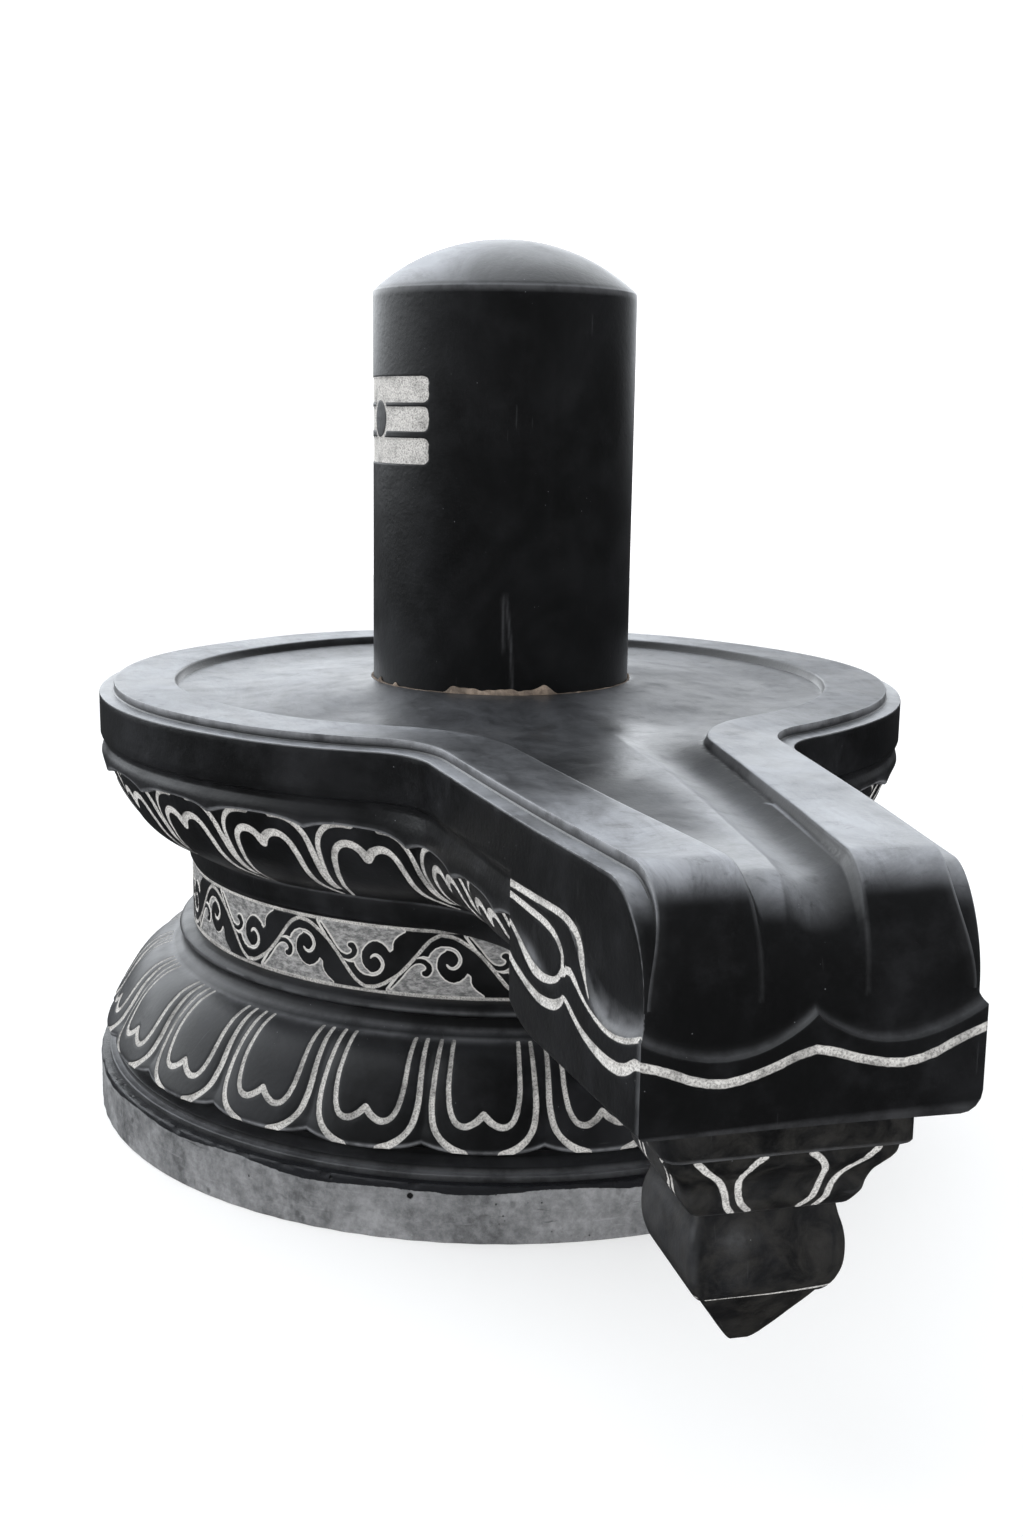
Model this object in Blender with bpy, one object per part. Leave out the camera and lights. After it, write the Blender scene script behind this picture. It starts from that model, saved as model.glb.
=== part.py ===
"""Shiva lingam: a domed stone shaft set in a round spouted tray, on a pedestal carved as a lotus.

Metres, +Z up. The origin lies on the floor, on the shaft's axis. The spout runs along -Y.
"""

import math

import bmesh
import bpy

# Heights above the floor
TRAY_TOP = 0.658
TRAY_FOOT = 0.381
SEAT_GAP = 0.0003

# Shaft
SHAFT_RADIUS = 0.200
SHAFT_RISE = 0.581
DOME_RISE = 0.078
SHAFT_SEGMENTS = 48
DOME_RINGS = 6
SOCKET_DEPTH = 0.060
JOINT_WIDTH = 0.004

# Mortar in the joint round the shaft's foot
MORTAR_DEPTH = 0.020
MORTAR_LIP = 0.0015
MORTAR_FLAP_RISE = 0.008
MORTAR_FLAP_SPAN = (math.radians(-39), math.radians(11))

# Tray plan: a round plate, a tapering spout and the concave curve between them
TRAY_RADIUS = 0.619
SPOUT_REACH = 1.260
SPOUT_END_HALF_WIDTH = 0.170
SPOUT_TAPER = 0.11
FLARE_RADIUS = 0.115

# Tray rim
LEDGE_WIDTH = 0.022
LEDGE_DROP = 0.013
BAND_WIDTH = 0.0905
WALL_HEIGHT = 0.060
WALL_ROUND = 0.008
RIM_COVE = 0.006

# Basin and channel
BASIN_DEPTH = 0.020
RIM_WALL = 0.013
FLOOR_AT_SHAFT = 0.003
CHANNEL_DEPTH = 0.016
GUTTER_DEPTH = 0.026
BASIN_RINGS = 4

# Lotus bowl under the tray's rim
NECK_RADIUS = 0.486
BOWL_PETALS = 24
BOWL_PETAL_COLUMNS = 6
BOWL_PETAL_RELIEF = 0.007
BOWL_SCALLOP = 0.012
BOWL_TRACE_INSET = 0.030
BOWL_GROOVE_DEPTH = 0.0065
BOWL_LIP_HEIGHT = 0.008
BOWL_LIP_INSET = 0.0015
BOWL_SHOULDER = 0.013
NECK_COLLAR = 0.035
NECK_COVE = 0.009

# Spout block
BLOCK_BACK = 0.920
BLOCK_BOTTOM = 0.240
BLOCK_BACK_LIFT = 0.024
BLOCK_BACK_ROUND = 0.080
ROLL_LENGTH = 0.082
ROLL_DROP = 0.120
LIP_FLARE = 0.010
LIP_FLARE_HEIGHT = 0.014
LIP_CORNER = 0.140
LIP_CUSP = 0.131
LIP_LOBE = 0.167
SIDE_LIP_INSET = 0.006
SIDE_LOBE_LIFT = 0.009
SIDE_DIVE_START = 0.195
SIDE_DIVE_END = 0.085
SIDE_RISE_START = 0.060
BLOCK_RIGHT_CHAMFER = 0.022
BLOCK_LEFT_CHAMFER = 0.006

# Pendant bracket under the spout's end, square in plan
BRACKET_SETBACK = 0.042
BRACKET_HALF_WIDTH = 0.128
BRACKET_DROP = 0.303
BRACKET_ROOT = 0.020
BRACKET_CORNER = 0.12

# Pedestal
PEDESTAL_PETALS = 24
PEDESTAL_PETAL_COLUMNS = 6
PEDESTAL_PETAL_RELIEF = 0.008
PEDESTAL_TIP_NOTCH = 0.007
PEDESTAL_TIP_THICKNESS = 0.005
PEDESTAL_TIP_OVERHANG = 0.028
FRIEZE_FOOT = 0.281
BEAD_PROJECTION = 0.022
BEAD_HEIGHT = 0.018
LOTUS_TOP = 0.238
LOTUS_TOP_RADIUS = 0.520
LOTUS_EDGE = 0.122
LOTUS_EDGE_RADIUS = 0.624
DISC_TOP = 0.080
DISC_RADIUS = 0.634
DISC_CHAMFER = 0.003
DISC_LEDGE = 0.014
DISC_STEP_WIDTH = 0.010
DISC_STEP_HEIGHT = 0.008
DISC_NECK_HEIGHT = 0.018


class Skin:
    """A mesh under construction: rows of vertices, and the faces between them."""

    def __init__(self):
        self.vertices = []
        self.faces = []

    def row(self, points):
        start = len(self.vertices)
        self.vertices.extend(tuple(p) for p in points)
        return list(range(start, len(self.vertices)))

    def face(self, corners):
        ring = [c for i, c in enumerate(corners) if c != corners[i - 1]]
        if len(ring) > 2:
            self.faces.append(ring)

    def strip(self, upper, lower, closed=False):
        """Faces between two rows. One row may have a whole multiple of the other row's points."""
        last = 0 if closed else 1
        count = min(len(upper), len(lower)) - last
        up_step = (len(upper) - last) // count
        low_step = (len(lower) - last) // count
        for i in range(count):
            top = [upper[(i * up_step + k) % len(upper)] for k in range(up_step + 1)]
            low = [lower[(i * low_step + k) % len(lower)] for k in range(low_step + 1)]
            self.face(top[:1] + low + top[:0:-1])

    def build(self, name, material, weld=0.00001):
        mesh = bpy.data.meshes.new(name)
        mesh.from_pydata(self.vertices, [], self.faces)
        work = bmesh.new()
        work.from_mesh(mesh)
        bmesh.ops.remove_doubles(work, verts=work.verts, dist=weld)
        bmesh.ops.triangulate(work, faces=[f for f in work.faces if len(f.verts) > 4])
        bmesh.ops.recalc_face_normals(work, faces=work.faces)
        work.to_mesh(mesh)
        work.free()
        mesh.shade_smooth()
        mesh.set_sharp_from_angle(angle=math.radians(28))
        piece = bpy.data.objects.new(name, mesh)
        piece.data.materials.append(material)
        bpy.context.scene.collection.objects.link(piece)
        return piece


def stone(name, colour, roughness):
    material = bpy.data.materials.new(name)
    material.use_nodes = True
    shader = material.node_tree.nodes["Principled BSDF"]
    shader.inputs["Base Color"].default_value = (*colour, 1.0)
    shader.inputs["Roughness"].default_value = roughness
    shader.inputs["Metallic"].default_value = 0.0
    return material


def smooth_step(value, low, high):
    t = min(1.0, max(0.0, (value - low) / (high - low)))
    return t * t * (3 - 2 * t)


def along(points, value):
    """Straight-line reading of a short list of (place, size) pairs."""
    for (a, p), (b, q) in zip(points, points[1:]):
        if value <= b:
            return p + (q - p) * max(0.0, value - a) / (b - a)
    return points[-1][1]


def arc_point(centre, radius, angle):
    return centre[0] + radius * math.sin(angle), centre[1] - radius * math.cos(angle)


def petal_bulge(phase):
    """0 in the valley between two petals, rising fast to 1 over the petal's middle."""
    across = abs(2 * (phase % 1.0) - 1)
    return 1 - across**3


class SpoutSide:
    """The straight side of the spout and the curve that joins it to the round plate, seen in plan.

    Places are (across, forward): across is +X, forward is -Y. The side is a straight line whose
    half-width grows by SPOUT_TAPER towards the plate, and a circle of FLARE_RADIUS touches both.
    """

    def __init__(self):
        self.slope = math.hypot(1.0, SPOUT_TAPER)
        self.outward = (1 / self.slope, SPOUT_TAPER / self.slope)
        self.forward = (-SPOUT_TAPER / self.slope, 1 / self.slope)
        distance = (SPOUT_END_HALF_WIDTH + SPOUT_TAPER * SPOUT_REACH) / self.slope
        out = distance + FLARE_RADIUS
        ahead = math.sqrt((TRAY_RADIUS + FLARE_RADIUS) ** 2 - out**2)
        self.centre = tuple(out * n + ahead * t for n, t in zip(self.outward, self.forward))
        self.round_end = math.atan2(self.centre[0], self.centre[1])
        self.start = tuple(c - FLARE_RADIUS * n for c, n in zip(self.centre, self.outward))
        self.turn = math.pi / 2 - self.round_end - math.atan(SPOUT_TAPER)
        self.length = (BLOCK_BACK - self.start[1]) / self.forward[1]

    def half_width(self, forward):
        return SPOUT_END_HALF_WIDTH + SPOUT_TAPER * (SPOUT_REACH - forward)


SIDE = SpoutSide()


def moulding_stations():
    """Plan stations from the spout block, round the back of the plate, to the block's other side.

    Each is (point, inward direction, petal phase). Moving a point inward by d stays on the outline
    drawn d further in, so every moulding is the same outline at another inset.
    """
    spans = [
        (TRAY_RADIUS - BOWL_TRACE_INSET) * (math.pi - SIDE.round_end),
        (FLARE_RADIUS + BOWL_TRACE_INSET) * SIDE.turn,
        SIDE.length,
    ]
    pitch = (TRAY_RADIUS - BOWL_TRACE_INSET) * 2 * math.pi / BOWL_PETALS
    count = 2 * math.floor(sum(spans) / pitch * BOWL_PETAL_COLUMNS / 2)
    half = []
    for i in range(count + 1):
        trace = sum(spans) * i / count
        phase = 0.5 + i / BOWL_PETAL_COLUMNS
        if trace <= spans[0]:
            angle = math.pi - trace / (TRAY_RADIUS - BOWL_TRACE_INSET)
            inward = (-math.sin(angle), math.cos(angle))
            point = (TRAY_RADIUS * math.sin(angle), -TRAY_RADIUS * math.cos(angle))
        elif trace <= spans[0] + spans[1]:
            turned = (trace - spans[0]) / (FLARE_RADIUS + BOWL_TRACE_INSET)
            angle = math.pi + SIDE.round_end + turned
            inward = (math.sin(angle), -math.cos(angle))
            point = (
                SIDE.centre[0] + FLARE_RADIUS * inward[0],
                -SIDE.centre[1] + FLARE_RADIUS * inward[1],
            )
        else:
            run = min(1.0, (trace - spans[0] - spans[1]) / spans[2])
            slide = run * SPOUT_TAPER
            inward = tuple(slide * t - n for n, t in zip(SIDE.outward, SIDE.forward))
            inward = (inward[0], -inward[1])
            point = (
                SIDE.start[0] + run * spans[2] * SIDE.forward[0],
                -SIDE.start[1] - run * spans[2] * SIDE.forward[1],
            )
        half.append((point, inward, phase))
    left = [((-p[0], p[1]), (-n[0], n[1]), -phase) for p, n, phase in half[1:]]
    return half[::-1] + left


def inset(station, distance, height):
    point, inward, _ = station
    return point[0] + distance * inward[0], point[1] + distance * inward[1], height


def roll(forward):
    """How far the spout's top has rolled down at this reach: a quarter of an ellipse."""
    start = SPOUT_REACH - LIP_FLARE - ROLL_LENGTH
    t = min(1.0, max(0.0, (forward - start) / ROLL_LENGTH))
    return ROLL_DROP * (1 - math.sqrt(max(0.0, 1 - t * t)))


def block_stations():
    """Reaches of the spout's cross-sections, from the block's back to the end of the roll."""
    flat_end = SPOUT_REACH - LIP_FLARE - ROLL_LENGTH
    flat = [BLOCK_BACK + (flat_end - BLOCK_BACK) * k / 6 for k in range(1, 7)]
    rolled = [flat_end + ROLL_LENGTH * math.sin(math.pi / 2 * k / 6) for k in range(1, 7)]
    return flat + rolled


def front_lip(across):
    """Depth below the tray's top of the scalloped step on the front: two lobes and a cusp."""
    t = abs(across) / SPOUT_END_HALF_WIDTH
    edge = LIP_CUSP + (LIP_CORNER - LIP_CUSP) * t
    return edge + (LIP_LOBE - edge) * math.sin(math.pi * min(1.0, t)) ** 0.8


def side_lip(forward):
    """Depth below the tray's top of the same step on the block's side, down from the wall's foot."""
    back = LEDGE_DROP + WALL_HEIGHT + WALL_ROUND
    dive = smooth_step(forward, SPOUT_REACH - SIDE_DIVE_START, SPOUT_REACH - SIDE_DIVE_END)
    rise = smooth_step(forward, SPOUT_REACH - SIDE_RISE_START, SPOUT_REACH)
    lobe = LIP_LOBE - SIDE_LOBE_LIFT
    return back + (lobe - back) * dive - (lobe - LIP_CORNER) * rise


def side_flare(forward):
    """Height of the hollow above the side's step: the wall's rounded foot at the back, taller in front."""
    grown = smooth_step(forward, BLOCK_BACK, SPOUT_REACH - ROLL_LENGTH)
    return WALL_ROUND + (LIP_FLARE_HEIGHT - WALL_ROUND) * grown


def block_underside(forward):
    back = max(0.0, 1 - (forward - BLOCK_BACK) / BLOCK_BACK_ROUND)
    return TRAY_TOP - BLOCK_BOTTOM + BLOCK_BACK_LIFT * back * back


def floor_depth(across, half_width, depth):
    """Depth of the channel's floor: flat on the left of a low ridge, with a gutter on its right."""
    t = across / half_width
    gutter = depth + GUTTER_DEPTH - CHANNEL_DEPTH
    return along([(-1.0, depth), (0.15, depth), (0.5, gutter), (1.0, RIM_WALL)], t)


def bowl_rows():
    """Rows of the bowl below the wall: (depth below the tray's top, inset, petal share, scallop share)."""
    wall_foot = LEDGE_DROP + WALL_HEIGHT
    groove = wall_foot + WALL_ROUND
    lip = groove + 3 * BOWL_GROOVE_DEPTH
    scallop = lip + BOWL_LIP_HEIGHT
    shoulder = scallop + BOWL_GROOVE_DEPTH / 2
    foot = TRAY_TOP - TRAY_FOOT
    neck_inset = TRAY_RADIUS - NECK_RADIUS
    fall = foot - NECK_COLLAR - shoulder
    spread = neck_inset - NECK_COVE - BOWL_SHOULDER
    curve = [(0.0, 0.0), (0.39, 0.14), (0.62, 0.33), (0.80, 0.59), (0.92, 0.86), (1.0, 1.0)]
    block_row = (BLOCK_BOTTOM - BLOCK_BACK_LIFT - shoulder) / fall
    petals = [
        (0.0, 0.6, 1.0),
        (0.39, 1.0, 0.3),
        (0.62, 1.0, 0.0),
        (block_row, 1.0, 0.0),
        (0.92, 0.7, 0.0),
        (1.0, 0.0, 0.0),
    ]
    rows = [
        (wall_foot, 0.0, 0.0, 0.0),
        (groove, BOWL_GROOVE_DEPTH / 2, 0.0, 0.0),
        (groove + BOWL_GROOVE_DEPTH, BOWL_GROOVE_DEPTH, 0.0, 0.0),
        (lip, BOWL_LIP_INSET, 0.0, 0.0),
        (scallop, BOWL_LIP_INSET, 0.0, 1.0),
    ]
    for t, petal, share in petals:
        rows.append((shoulder + fall * t, BOWL_SHOULDER + spread * along(curve, t), petal, share))
    rows.append((foot - NECK_COVE, neck_inset - NECK_COVE / 2, 0.0, 0.0))
    rows.append((foot, neck_inset, 0.0, 0.0))
    return rows


def bowl_point(station, row):
    depth, distance, petal, scallop = row
    bulge = petal_bulge(station[2])
    cut = BOWL_PETAL_RELIEF * petal * (1 - bulge)
    drop = BOWL_SCALLOP * scallop * (1 - bulge)
    return inset(station, distance + cut, TRAY_TOP - depth - drop)


def rim_insets():
    """Insets and depths of the rim's rows, from the basin's wall foot outwards."""
    inner = LEDGE_WIDTH + BAND_WIDTH
    return [
        (inner + RIM_COVE, RIM_WALL),
        (inner, 0.0),
        (LEDGE_WIDTH, 0.0),
        (LEDGE_WIDTH, LEDGE_DROP),
        (0.0, LEDGE_DROP),
    ]


def block_section(forward):
    """One cross-section of the spout's top, from its +X edge to its -X edge."""
    rolled = roll(forward)
    fade = 1 - smooth_step(rolled / ROLL_DROP, 0.0, 1.0)
    pinch = 1 - 0.85 * smooth_step(rolled / ROLL_DROP, 0.1, 1.0)
    half = SIDE.half_width(forward)
    pull = SIDE_LIP_INSET * smooth_step(forward, BLOCK_BACK, SPOUT_REACH)
    edges = []
    for distance, depth in rim_insets()[::-1]:
        wide = distance > LEDGE_WIDTH
        reach_in = distance if wide else distance * pinch
        lowered = depth * (fade if wide else pinch)
        edges.append((half - pull - reach_in * SIDE.slope, lowered))
    inner = edges[-1][0]
    floor = []
    for t in (0.5, 0.15, -0.4):
        floor.append((t * inner, fade * floor_depth(t * inner, inner, CHANNEL_DEPTH)))
    places = edges + floor + [(-across, depth) for across, depth in edges[::-1]]
    return [(across, -forward, TRAY_TOP - rolled - depth) for across, depth in places]


def basin_loop_inwards(skin, loop):
    """Rows from the basin's edge in to the socket, sinking to BASIN_DEPTH and rising to the shaft."""
    socket = SHAFT_RADIUS + JOINT_WIDTH
    rows = [loop]
    for k in range(1, BASIN_RINGS + 1):
        t = k / BASIN_RINGS
        row = []
        for index in loop:
            x, y, z = skin.vertices[index]
            away = math.hypot(x, y)
            target = (x / away * socket, y / away * socket)
            depth = TRAY_TOP - z
            sunk = depth + (BASIN_DEPTH - depth) * min(1.0, 3 * t)
            level = sunk + (FLOOR_AT_SHAFT - sunk) * smooth_step(t, 0.15, 1.0)
            row.append((x + (target[0] - x) * t, y + (target[1] - y) * t, TRAY_TOP - level))
        rows.append(skin.row(row))
    for outer, inner in zip(rows, rows[1:]):
        skin.strip(inner, outer, closed=True)
    return rows[-1]


def build_tray(material):
    skin = Skin()
    stations = moulding_stations()
    coarse = stations[::2]
    reaches = block_stations()

    # Cross-sections of the channel between the basin and the block's back
    straight = [i for i, s in enumerate(coarse) if -s[0][1] > SIDE.start[1] - 0.001 and s[0][0] > 0]
    rim_rows = []
    for distance, depth in rim_insets():
        rim_rows.append(skin.row(inset(s, distance, TRAY_TOP - depth) for s in coarse))
    for inner, outer in zip(rim_rows, rim_rows[1:]):
        skin.strip(inner, outer)
    sections = []
    for i in straight:
        right = skin.vertices[rim_rows[0][i]]
        floor = skin.row(
            (t * right[0], right[1], TRAY_TOP - floor_depth(t, 1.0, CHANNEL_DEPTH))
            for t in (0.5, 0.15, -0.4)
        )
        sections.append([rim_rows[0][i], *floor, rim_rows[0][len(coarse) - 1 - i]])
    for ahead, behind in zip(sections, sections[1:]):
        skin.strip(ahead[::-1], behind[::-1])

    # Basin
    mouth = sections[-1]
    around = rim_rows[0][straight[-1] : len(coarse) - straight[-1]]
    loop = around + mouth[1:-1][::-1]
    socket_edge = basin_loop_inwards(skin, loop)
    socket_foot = skin.row(
        (skin.vertices[i][0], skin.vertices[i][1], TRAY_TOP - SOCKET_DEPTH) for i in socket_edge
    )
    skin.strip(socket_foot, socket_edge, closed=True)
    skin.face(socket_foot)

    # Wall, groove and lotus bowl
    wall_top = rim_rows[-1]
    previous = wall_top
    seam_right, seam_left = [wall_top[0]], [wall_top[-1]]
    for number, row in enumerate(bowl_rows()):
        fine = 4 <= number <= 9
        points = skin.row(bowl_point(s, row) for s in (stations if fine else coarse))
        skin.strip(previous, points)
        seam_right.append(points[0])
        seam_left.append(points[-1])
        previous = points

    # Spout block: top, sides and underside
    top = [rim_rows[k][0] for k in range(4, -1, -1)] + sections[0][1:-1] + [r[-1] for r in rim_rows]
    side_columns = {1: [], -1: []}
    chamfer = {1: BLOCK_RIGHT_CHAMFER, -1: BLOCK_LEFT_CHAMFER}
    for forward in [BLOCK_BACK] + reaches:
        if forward > BLOCK_BACK:
            row = skin.row(block_section(forward))
            skin.strip(top[::-1], row[::-1])
            top = row
        half = SIDE.half_width(forward)
        pull = SIDE_LIP_INSET * smooth_step(forward, BLOCK_BACK, SPOUT_REACH)
        lip = side_lip(forward)
        under = block_underside(forward)
        for sign, upper in ((1, top[0]), (-1, top[-1])):
            cut = chamfer[sign] * smooth_step(forward, BLOCK_BACK, BLOCK_BACK + BLOCK_BACK_ROUND)
            column = skin.row(
                (
                    (sign * (half - pull), -forward, TRAY_TOP - lip + side_flare(forward)),
                    (sign * half, -forward, TRAY_TOP - lip),
                    (sign * half, -forward, under + cut),
                    (sign * (half - cut), -forward, under),
                )
            )
            side_columns[sign].append([upper] + column)

    # The back of the block stands square to the spout where the bowl's mouldings run into it
    ends = 9
    for sign, seam in ((1, seam_right), (-1, seam_left)):
        column = side_columns[sign][0]
        outline = column[2:4] + seam[ends:0:-1]
        skin.face(outline if sign > 0 else outline[::-1])
    keel = seam_right[ends:] + seam_left[:ends - 1:-1]
    skin.face(keel)

    # Front: the roll ends in a flared, scalloped lip over a plain fascia
    columns = len(top)
    across = [SPOUT_END_HALF_WIDTH * (1 - 2 * k / (columns - 1)) for k in range(columns)]
    behind = SPOUT_REACH - LIP_FLARE
    flare = skin.row((w, -behind, TRAY_TOP - front_lip(w) + LIP_FLARE_HEIGHT) for w in across)
    edge = skin.row((w, -SPOUT_REACH, TRAY_TOP - front_lip(w)) for w in across)
    under = TRAY_TOP - BLOCK_BOTTOM
    low = across[:]
    low[0] -= BLOCK_RIGHT_CHAMFER
    low[-1] += BLOCK_LEFT_CHAMFER
    foot = skin.row((w, -SPOUT_REACH, under) for w in low)
    for upper, lower in ((top, flare), (flare, edge)):
        skin.strip(upper[::-1], lower[::-1])
    skin.strip(edge[-2:0:-1], foot[-2:0:-1])
    for sign, k, beside in ((1, 0, 1), (-1, -1, -2)):
        shoulder = skin.row([(sign * SPOUT_END_HALF_WIDTH, -SPOUT_REACH, under + chamfer[sign])])[0]
        corners = [edge[k], shoulder, foot[k], foot[beside], edge[beside]]
        skin.face(corners if sign < 0 else corners[::-1])
        side_columns[sign].append([top[k], flare[k], edge[k], shoulder, foot[k]])
    for sign, columns_here in side_columns.items():
        for back, front in zip(columns_here, columns_here[1:]):
            for k in range(4):
                corners = [front[k], front[k + 1], back[k + 1], back[k]]
                skin.face(corners if sign > 0 else corners[::-1])

    # Undersides of the block and of the bowl
    rights = [c[4] for c in side_columns[1]]
    lefts = [c[4] for c in side_columns[-1]]
    skin.face([rights[0], seam_right[ends], seam_left[ends], lefts[0], lefts[1], rights[1]])
    for k in range(1, len(rights) - 2):
        skin.face([rights[k], lefts[k], lefts[k + 1], rights[k + 1]])
    skin.face([rights[-2], lefts[-2]] + foot[::-1])
    skin.face(previous)
    return skin.build("yoni_tray", material)


def build_bracket():
    """The pendant under the spout's end: square storeys stepping in, down to a small blunt tip."""
    fillet = 0.155
    steps = [
        (fillet, 1.0),
        (fillet, 0.94),
        (0.21, 0.91),
        (0.275, 0.79),
        (0.345, 0.73),
        (0.405, 0.65),
        (0.412, 0.58),
        (0.46, 0.595),
        (0.54, 0.64),
        (0.63, 0.625),
        (0.71, 0.555),
        (0.765, 0.47),
        (0.90, 0.25),
        (0.98, 0.125),
        (1.0, 0.07),
    ]
    levels = [(BLOCK_BOTTOM - BRACKET_ROOT, BRACKET_HALF_WIDTH)]
    levels += [(BLOCK_BOTTOM + BRACKET_DROP * fall, BRACKET_HALF_WIDTH * share) for fall, share in steps]
    centre = SPOUT_REACH - BRACKET_SETBACK - BRACKET_HALF_WIDTH
    skin = Skin()
    previous = None
    for depth, half in levels:
        corner = BRACKET_CORNER * half
        ring = []
        for turn in range(4):
            angle = math.pi / 2 * turn
            for a, b in ((half, -half + corner), (half, half - corner), (half - corner, half)):
                x = a * math.cos(angle) - b * math.sin(angle)
                y = a * math.sin(angle) + b * math.cos(angle)
                ring.append((x, y - centre, TRAY_TOP - depth))
        ring = skin.row(ring)
        if previous:
            skin.strip(previous, ring, closed=True)
        else:
            skin.face(ring)
        previous = ring
    skin.face(previous[::-1])
    return skin.build("bracket_tool", None)


def build_pedestal(material):
    skin = Skin()
    fine = PEDESTAL_PETALS * PEDESTAL_PETAL_COLUMNS
    coarse = fine // 3
    neck_top = TRAY_FOOT - SEAT_GAP
    lotus_fall = LOTUS_TOP - LOTUS_EDGE
    spread = LOTUS_EDGE_RADIUS - LOTUS_TOP_RADIUS
    bead_foot = FRIEZE_FOOT - BEAD_HEIGHT
    cove = BEAD_PROJECTION * 0.64
    plain_top = [
        (NECK_RADIUS, neck_top),
        (NECK_RADIUS, FRIEZE_FOOT),
        (NECK_RADIUS + cove, FRIEZE_FOOT - BEAD_HEIGHT * 0.17),
        (NECK_RADIUS + BEAD_PROJECTION, FRIEZE_FOOT - BEAD_HEIGHT * 0.55),
        (NECK_RADIUS + cove, bead_foot),
        (NECK_RADIUS + cove * 1.28, bead_foot - (bead_foot - LOTUS_TOP) * 0.6),
        (LOTUS_TOP_RADIUS, LOTUS_TOP),
    ]
    petals = [(0.18, 0.05, 0.6), (0.50, 0.26, 1.0), (0.74, 0.56, 1.0), (0.93, 0.86, 1.0), (1.0, 1.0, 1.0)]
    step = DISC_RADIUS - DISC_LEDGE
    tip = LOTUS_EDGE - PEDESTAL_TIP_THICKNESS
    step_top = DISC_TOP + DISC_STEP_HEIGHT
    neck_low = step_top + DISC_NECK_HEIGHT - PEDESTAL_TIP_THICKNESS / 2
    plain_low = [
        (LOTUS_EDGE_RADIUS - PEDESTAL_TIP_OVERHANG, tip - 0.6 * PEDESTAL_TIP_THICKNESS),
        (LOTUS_EDGE_RADIUS - PEDESTAL_TIP_OVERHANG, neck_low),
        (step - DISC_STEP_WIDTH, step_top + DISC_NECK_HEIGHT / 2),
        (step - DISC_STEP_WIDTH, step_top),
        (step, step_top),
        (step, DISC_TOP),
        (DISC_RADIUS - DISC_CHAMFER, DISC_TOP),
        (DISC_RADIUS, DISC_TOP - DISC_CHAMFER),
        (DISC_RADIUS, 0.0),
    ]
    angles = [2 * math.pi * i / fine for i in range(fine)]

    def turned(radius, height, share=0.0, notch=0.0, step=1):
        points = []
        for i in range(0, fine, step):
            gap = 1 - petal_bulge(0.5 + i / PEDESTAL_PETAL_COLUMNS)
            x, y = arc_point((0, 0), radius - PEDESTAL_PETAL_RELIEF * share * gap, angles[i])
            points.append((x, y, height + notch * gap))
        return skin.row(points)

    rows = [turned(r, z, step=fine // coarse) for r, z in plain_top]
    for out, fall, share in petals:
        radius = LOTUS_TOP_RADIUS + spread * out
        notch = PEDESTAL_TIP_NOTCH if fall == 1.0 else 0.0
        rows.append(turned(radius, LOTUS_TOP - lotus_fall * fall, share, notch))
    rows.append(turned(LOTUS_EDGE_RADIUS - PEDESTAL_TIP_THICKNESS, tip, 1.0, PEDESTAL_TIP_NOTCH))
    rows += [turned(r, z, step=fine // coarse) for r, z in plain_low]
    skin.face(rows[0])
    for upper, lower in zip(rows, rows[1:]):
        skin.strip(upper, lower, closed=True)
    skin.face(rows[-1][::-1])
    return skin.build("lotus_pedestal", material)


def build_shaft(material):
    skin = Skin()
    foot = TRAY_TOP - SOCKET_DEPTH + SEAT_GAP
    arris = TRAY_TOP + SHAFT_RISE
    ball = (SHAFT_RADIUS**2 + DOME_RISE**2) / (2 * DOME_RISE)
    sweep = math.asin(SHAFT_RADIUS / ball)
    profile = [(SHAFT_RADIUS, foot), (SHAFT_RADIUS, arris - 0.002)]
    for k in range(DOME_RINGS):
        angle = sweep * (1 - k / DOME_RINGS)
        height = arris + DOME_RISE - ball * (1 - math.cos(angle))
        profile.append((ball * math.sin(angle) - (0.001 if k == 0 else 0.0), height))
    rows = []
    for radius, height in profile:
        ring = [2 * math.pi * i / SHAFT_SEGMENTS for i in range(SHAFT_SEGMENTS)]
        rows.append(skin.row((*arc_point((0, 0), radius, a), height) for a in ring))
    skin.face(rows[0][::-1])
    for lower, upper in zip(rows, rows[1:]):
        skin.strip(upper, lower, closed=True)
    pole = skin.row([(0.0, 0.0, arris + DOME_RISE)])[0]
    last = rows[-1]
    for i in range(SHAFT_SEGMENTS):
        skin.face([pole, last[i], last[(i + 1) % SHAFT_SEGMENTS]])
    return skin.build("lingam_shaft", material)


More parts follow.
